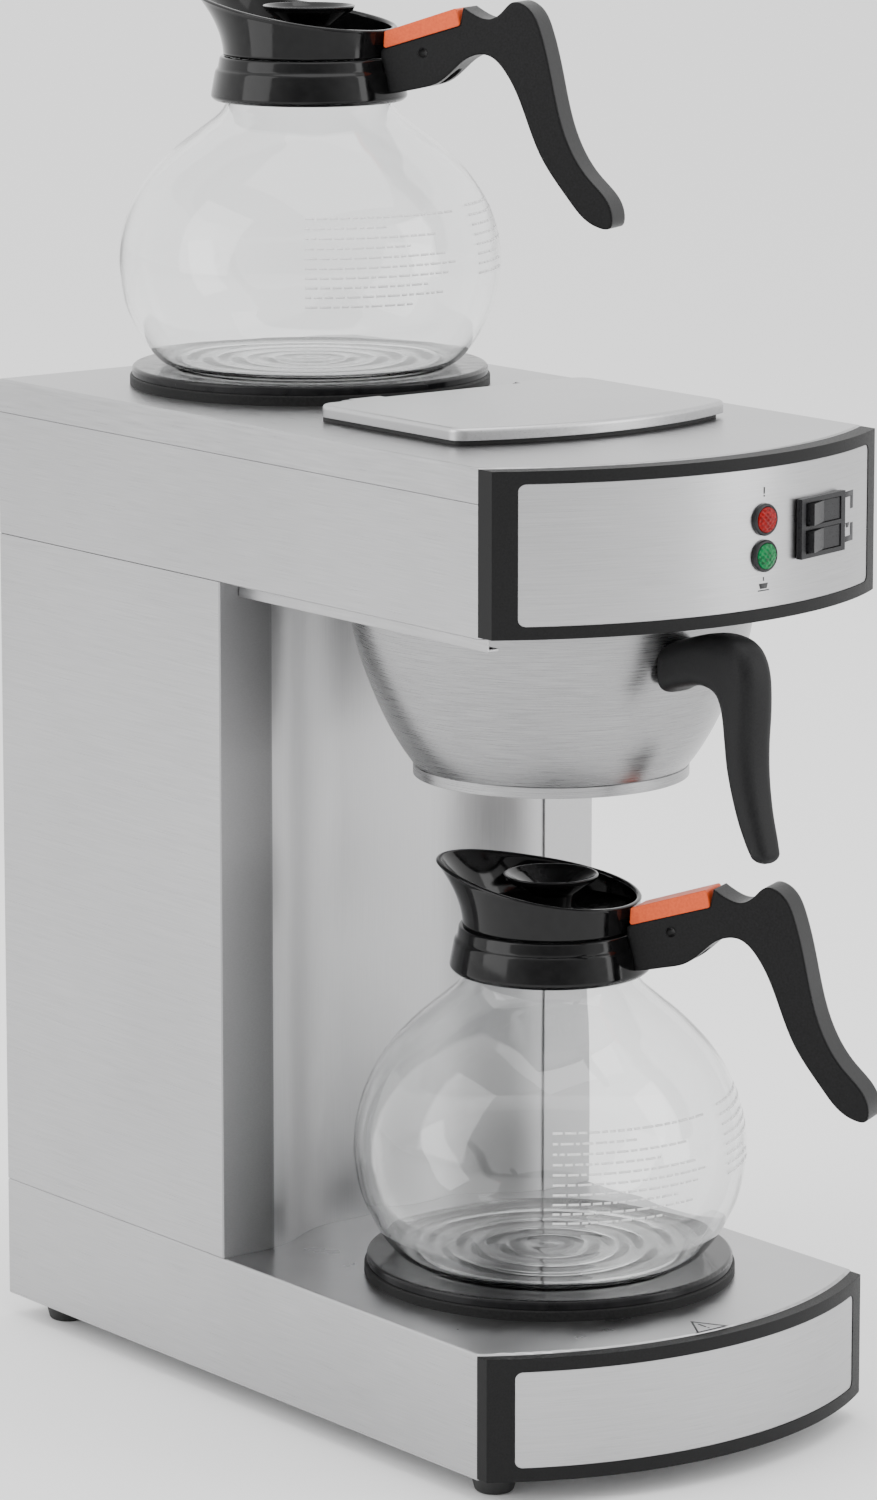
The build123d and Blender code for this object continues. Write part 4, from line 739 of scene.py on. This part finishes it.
def glass_profile(drop):
    """Profile from the foot's middle up the outside, over the lip and down the inside to the middle.

    The inside is the outside moved in along its normal, and a cosine ripples both sides of the foot."""
    outside = glass_outside(drop)
    slope = np.gradient(outside, axis=0)
    slope /= np.linalg.norm(slope, axis=1)[:, None]
    inside = outside + wall * np.stack([-slope[:, 1], slope[:, 0]], -1)
    reach = np.linspace(1.5, foot_radius, 40)
    foot = np.stack([reach, 0.25 * (1 - (reach / foot_radius) ** 2) * (1 + np.cos(reach / 1.9))], -1)
    inner_foot = np.stack([reach * 0.985, wall + 0.22 * (1 + np.cos(reach / 2.3))], -1)
    lip = np.array([(35.4, 148.4), (34.6, glass_height), (33.8, 148.4)]) - np.array([0.0, drop])
    return np.concatenate([foot, outside, lip, inside[::-1], inner_foot[::-1]])


throat_outside = 37.8
throat_inside = 35.75
funnel_wall = 2.4


def wall_row(throat, rim_radius_at, rim_height_at, share):
    """Radius and height of the funnel's wall at a share of its rise from the collar to the rim."""
    flare = share**1.7
    radius = throat * (1 - flare) + rim_radius_at * flare
    return radius, collar_top + 0.2 + (rim_height_at - collar_top) * share


def funnel_points(centre):
    """Pouring funnel: a round throat that opens into a slanted rim, drawn out opposite the handle.

    Around the turn the rim's radius is a round one, plus a bell curve at the spout and less one at
    either side, and its height is a cosine. Up the wall the radius goes from throat to rim as a power."""
    angle = full_turn[None, :]
    spoutness = np.exp(-(((angle - pi) / 0.62) ** 2))
    waist = np.exp(-(((angle - pi / 2) / 0.7) ** 2)) + np.exp(-(((angle - 1.5 * pi) / 0.7) ** 2))
    rim_radius_at = 38.8 + 12.8 * spoutness - 1.2 * waist
    rim_height_at = 155.0 + 11.5 * (1 - np.cos(angle)) / 2 + 2.5 * spoutness
    rise = np.linspace(0, 1, 16)
    out_rows = [wall_row(throat_outside, rim_radius_at, rim_height_at, share) for share in rise]
    lip_rows = [
        (rim_radius_at + 0.25, rim_height_at + 0.5),
        (rim_radius_at - 0.2, rim_height_at + 1.1),
        (rim_radius_at - 1.2, rim_height_at + 1.3),
        (rim_radius_at - 2.1, rim_height_at + 0.7),
    ]
    inner_rim = rim_radius_at - funnel_wall
    in_rows = [wall_row(throat_inside, inner_rim, rim_height_at, share) for share in rise[::-1]]
    rows = out_rows + lip_rows + in_rows
    radius = np.stack([np.broadcast_to(row[0], angle.shape)[0] for row in rows]) / 1000
    height = np.stack([np.broadcast_to(row[1], angle.shape)[0] for row in rows]) / 1000
    return (
        np.array(centre)
        + (radius * np.cos(angle))[..., None] * handle_way
        + (radius * np.sin(angle))[..., None] * handle_side
        + height[..., None] * upright
    )


collar_profile = rounded(
    [
        (35.7, 126.5),
        (41.5, 124.0),
        (43.5, 126.0),
        (41.4, 137.5),
        (40.2, 138.6),
        (39.4, 143.6),
        (35.7, collar_top),
    ],
    1.0,
)
cup_profile = rounded(
    [
        (4.0, 143.0),
        (7.0, 143.0),
        (7.0, 149.0),
        (34.1, 149.0),
        (34.1, 151.0),
        (9.0, 151.0),
        (10.5, 157.5),
        (19.5, 163.6),
        (20.5, 165.6),
        (19.6, 166.0),
        (17.0, 164.2),
        (6.5, 158.6),
        (4.0, 156.5),
    ],
    0.6,
)
care_ink = Maker("white_care_ink")
care_ink.colours(care_ink.noise(1200.0, 2.0), (0.70, 0.70, 0.70), (0.82, 0.82, 0.82))
care_ink.set(Roughness=0.6)
line_pitch = 4.2
stroke_height = 1.0
stroke_gap = 0.7
ink_lift = 0.00008


def care_marks(name, body, centre, drop, first_turn, last_turn, low_line, line_count):
    """Rows of short strokes printed on the glass, without words.

    A stroke is a patch between two turns and two heights, laid at the glass's own outside radius."""
    outside = glass_outside(drop)
    chance = np.random.default_rng(7)
    patches = []
    for line in range(line_count):
        foot = low_line + line_pitch * line
        top = foot + stroke_height
        start = first_turn
        end = last_turn - chance.uniform(0.0, 0.6) * (last_turn - first_turn)
        while start < end:
            length = chance.uniform(1.2, 4.0)
            patches.append([(start, foot), (start + length, foot), (start + length, top), (start, top)])
            start += length + stroke_gap
    corners = np.array(patches).reshape(-1, 2)
    bulge = outside[:, 0].argmax()
    below = np.interp(corners[:, 1], outside[:bulge, 1], outside[:bulge, 0])
    above = np.interp(corners[:, 1], outside[bulge:, 1], outside[bulge:, 0])
    away = np.where(corners[:, 1] < outside[bulge, 1], below, above) / 1000 + ink_lift
    angle = np.radians(corners[:, 0])
    from_middle = np.stack([away * np.cos(angle), away * np.sin(angle), corners[:, 1] / 1000], -1)
    points = np.array(centre) + from_middle
    faces = np.arange(len(points)).reshape(-1, 4).tolist()
    inked(shown(name, points, faces, body, care_ink.material))


for decanter in ("lower_decanter", "upper_decanter"):
    low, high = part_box(decanter + "_glass")
    centre = ((low.x + high.x) / 2, (low.y + high.y) / 2, low.z)
    drop = glass_height - (high.z - low.z) * 1000
    clamp = (centre[0], centre[1], low.z - drop / 1000)

    vertices, faces = capped(spun(glass_profile(drop), centre))
    globe = shown(
        decanter + "_globe",
        vertices,
        faces,
        decanter,
        glass.material,
        [decanter + "_glass"],
    )
    faces_out(globe)
    care_marks(decanter + "_care_marks", decanter, centre, drop, -128.0, -74.0, 34.0, 10)
    care_marks(decanter + "_care_marks_right", decanter, centre, drop, -66.0, -30.0, 44.0, 8)
    for part, profile in (("collar", collar_profile), ("brew_cup", cup_profile)):
        rings = spun(profile, clamp)
        piece = shown(
            f"{decanter}_{part}_moulding",
            rings,
            grid_faces(len(profile), len(full_turn), True),
            decanter,
            gloss_black.material,
            (f"{decanter}_{part}",),
        )
        faces_out(piece)
    rings = funnel_points(clamp)
    funnel = shown(
        decanter + "_funnel",
        rings,
        grid_faces(rings.shape[0], rings.shape[1], True),
        decanter,
        gloss_black.material,
        (decanter + "_spout_funnel",),
    )
    faces_out(funnel)
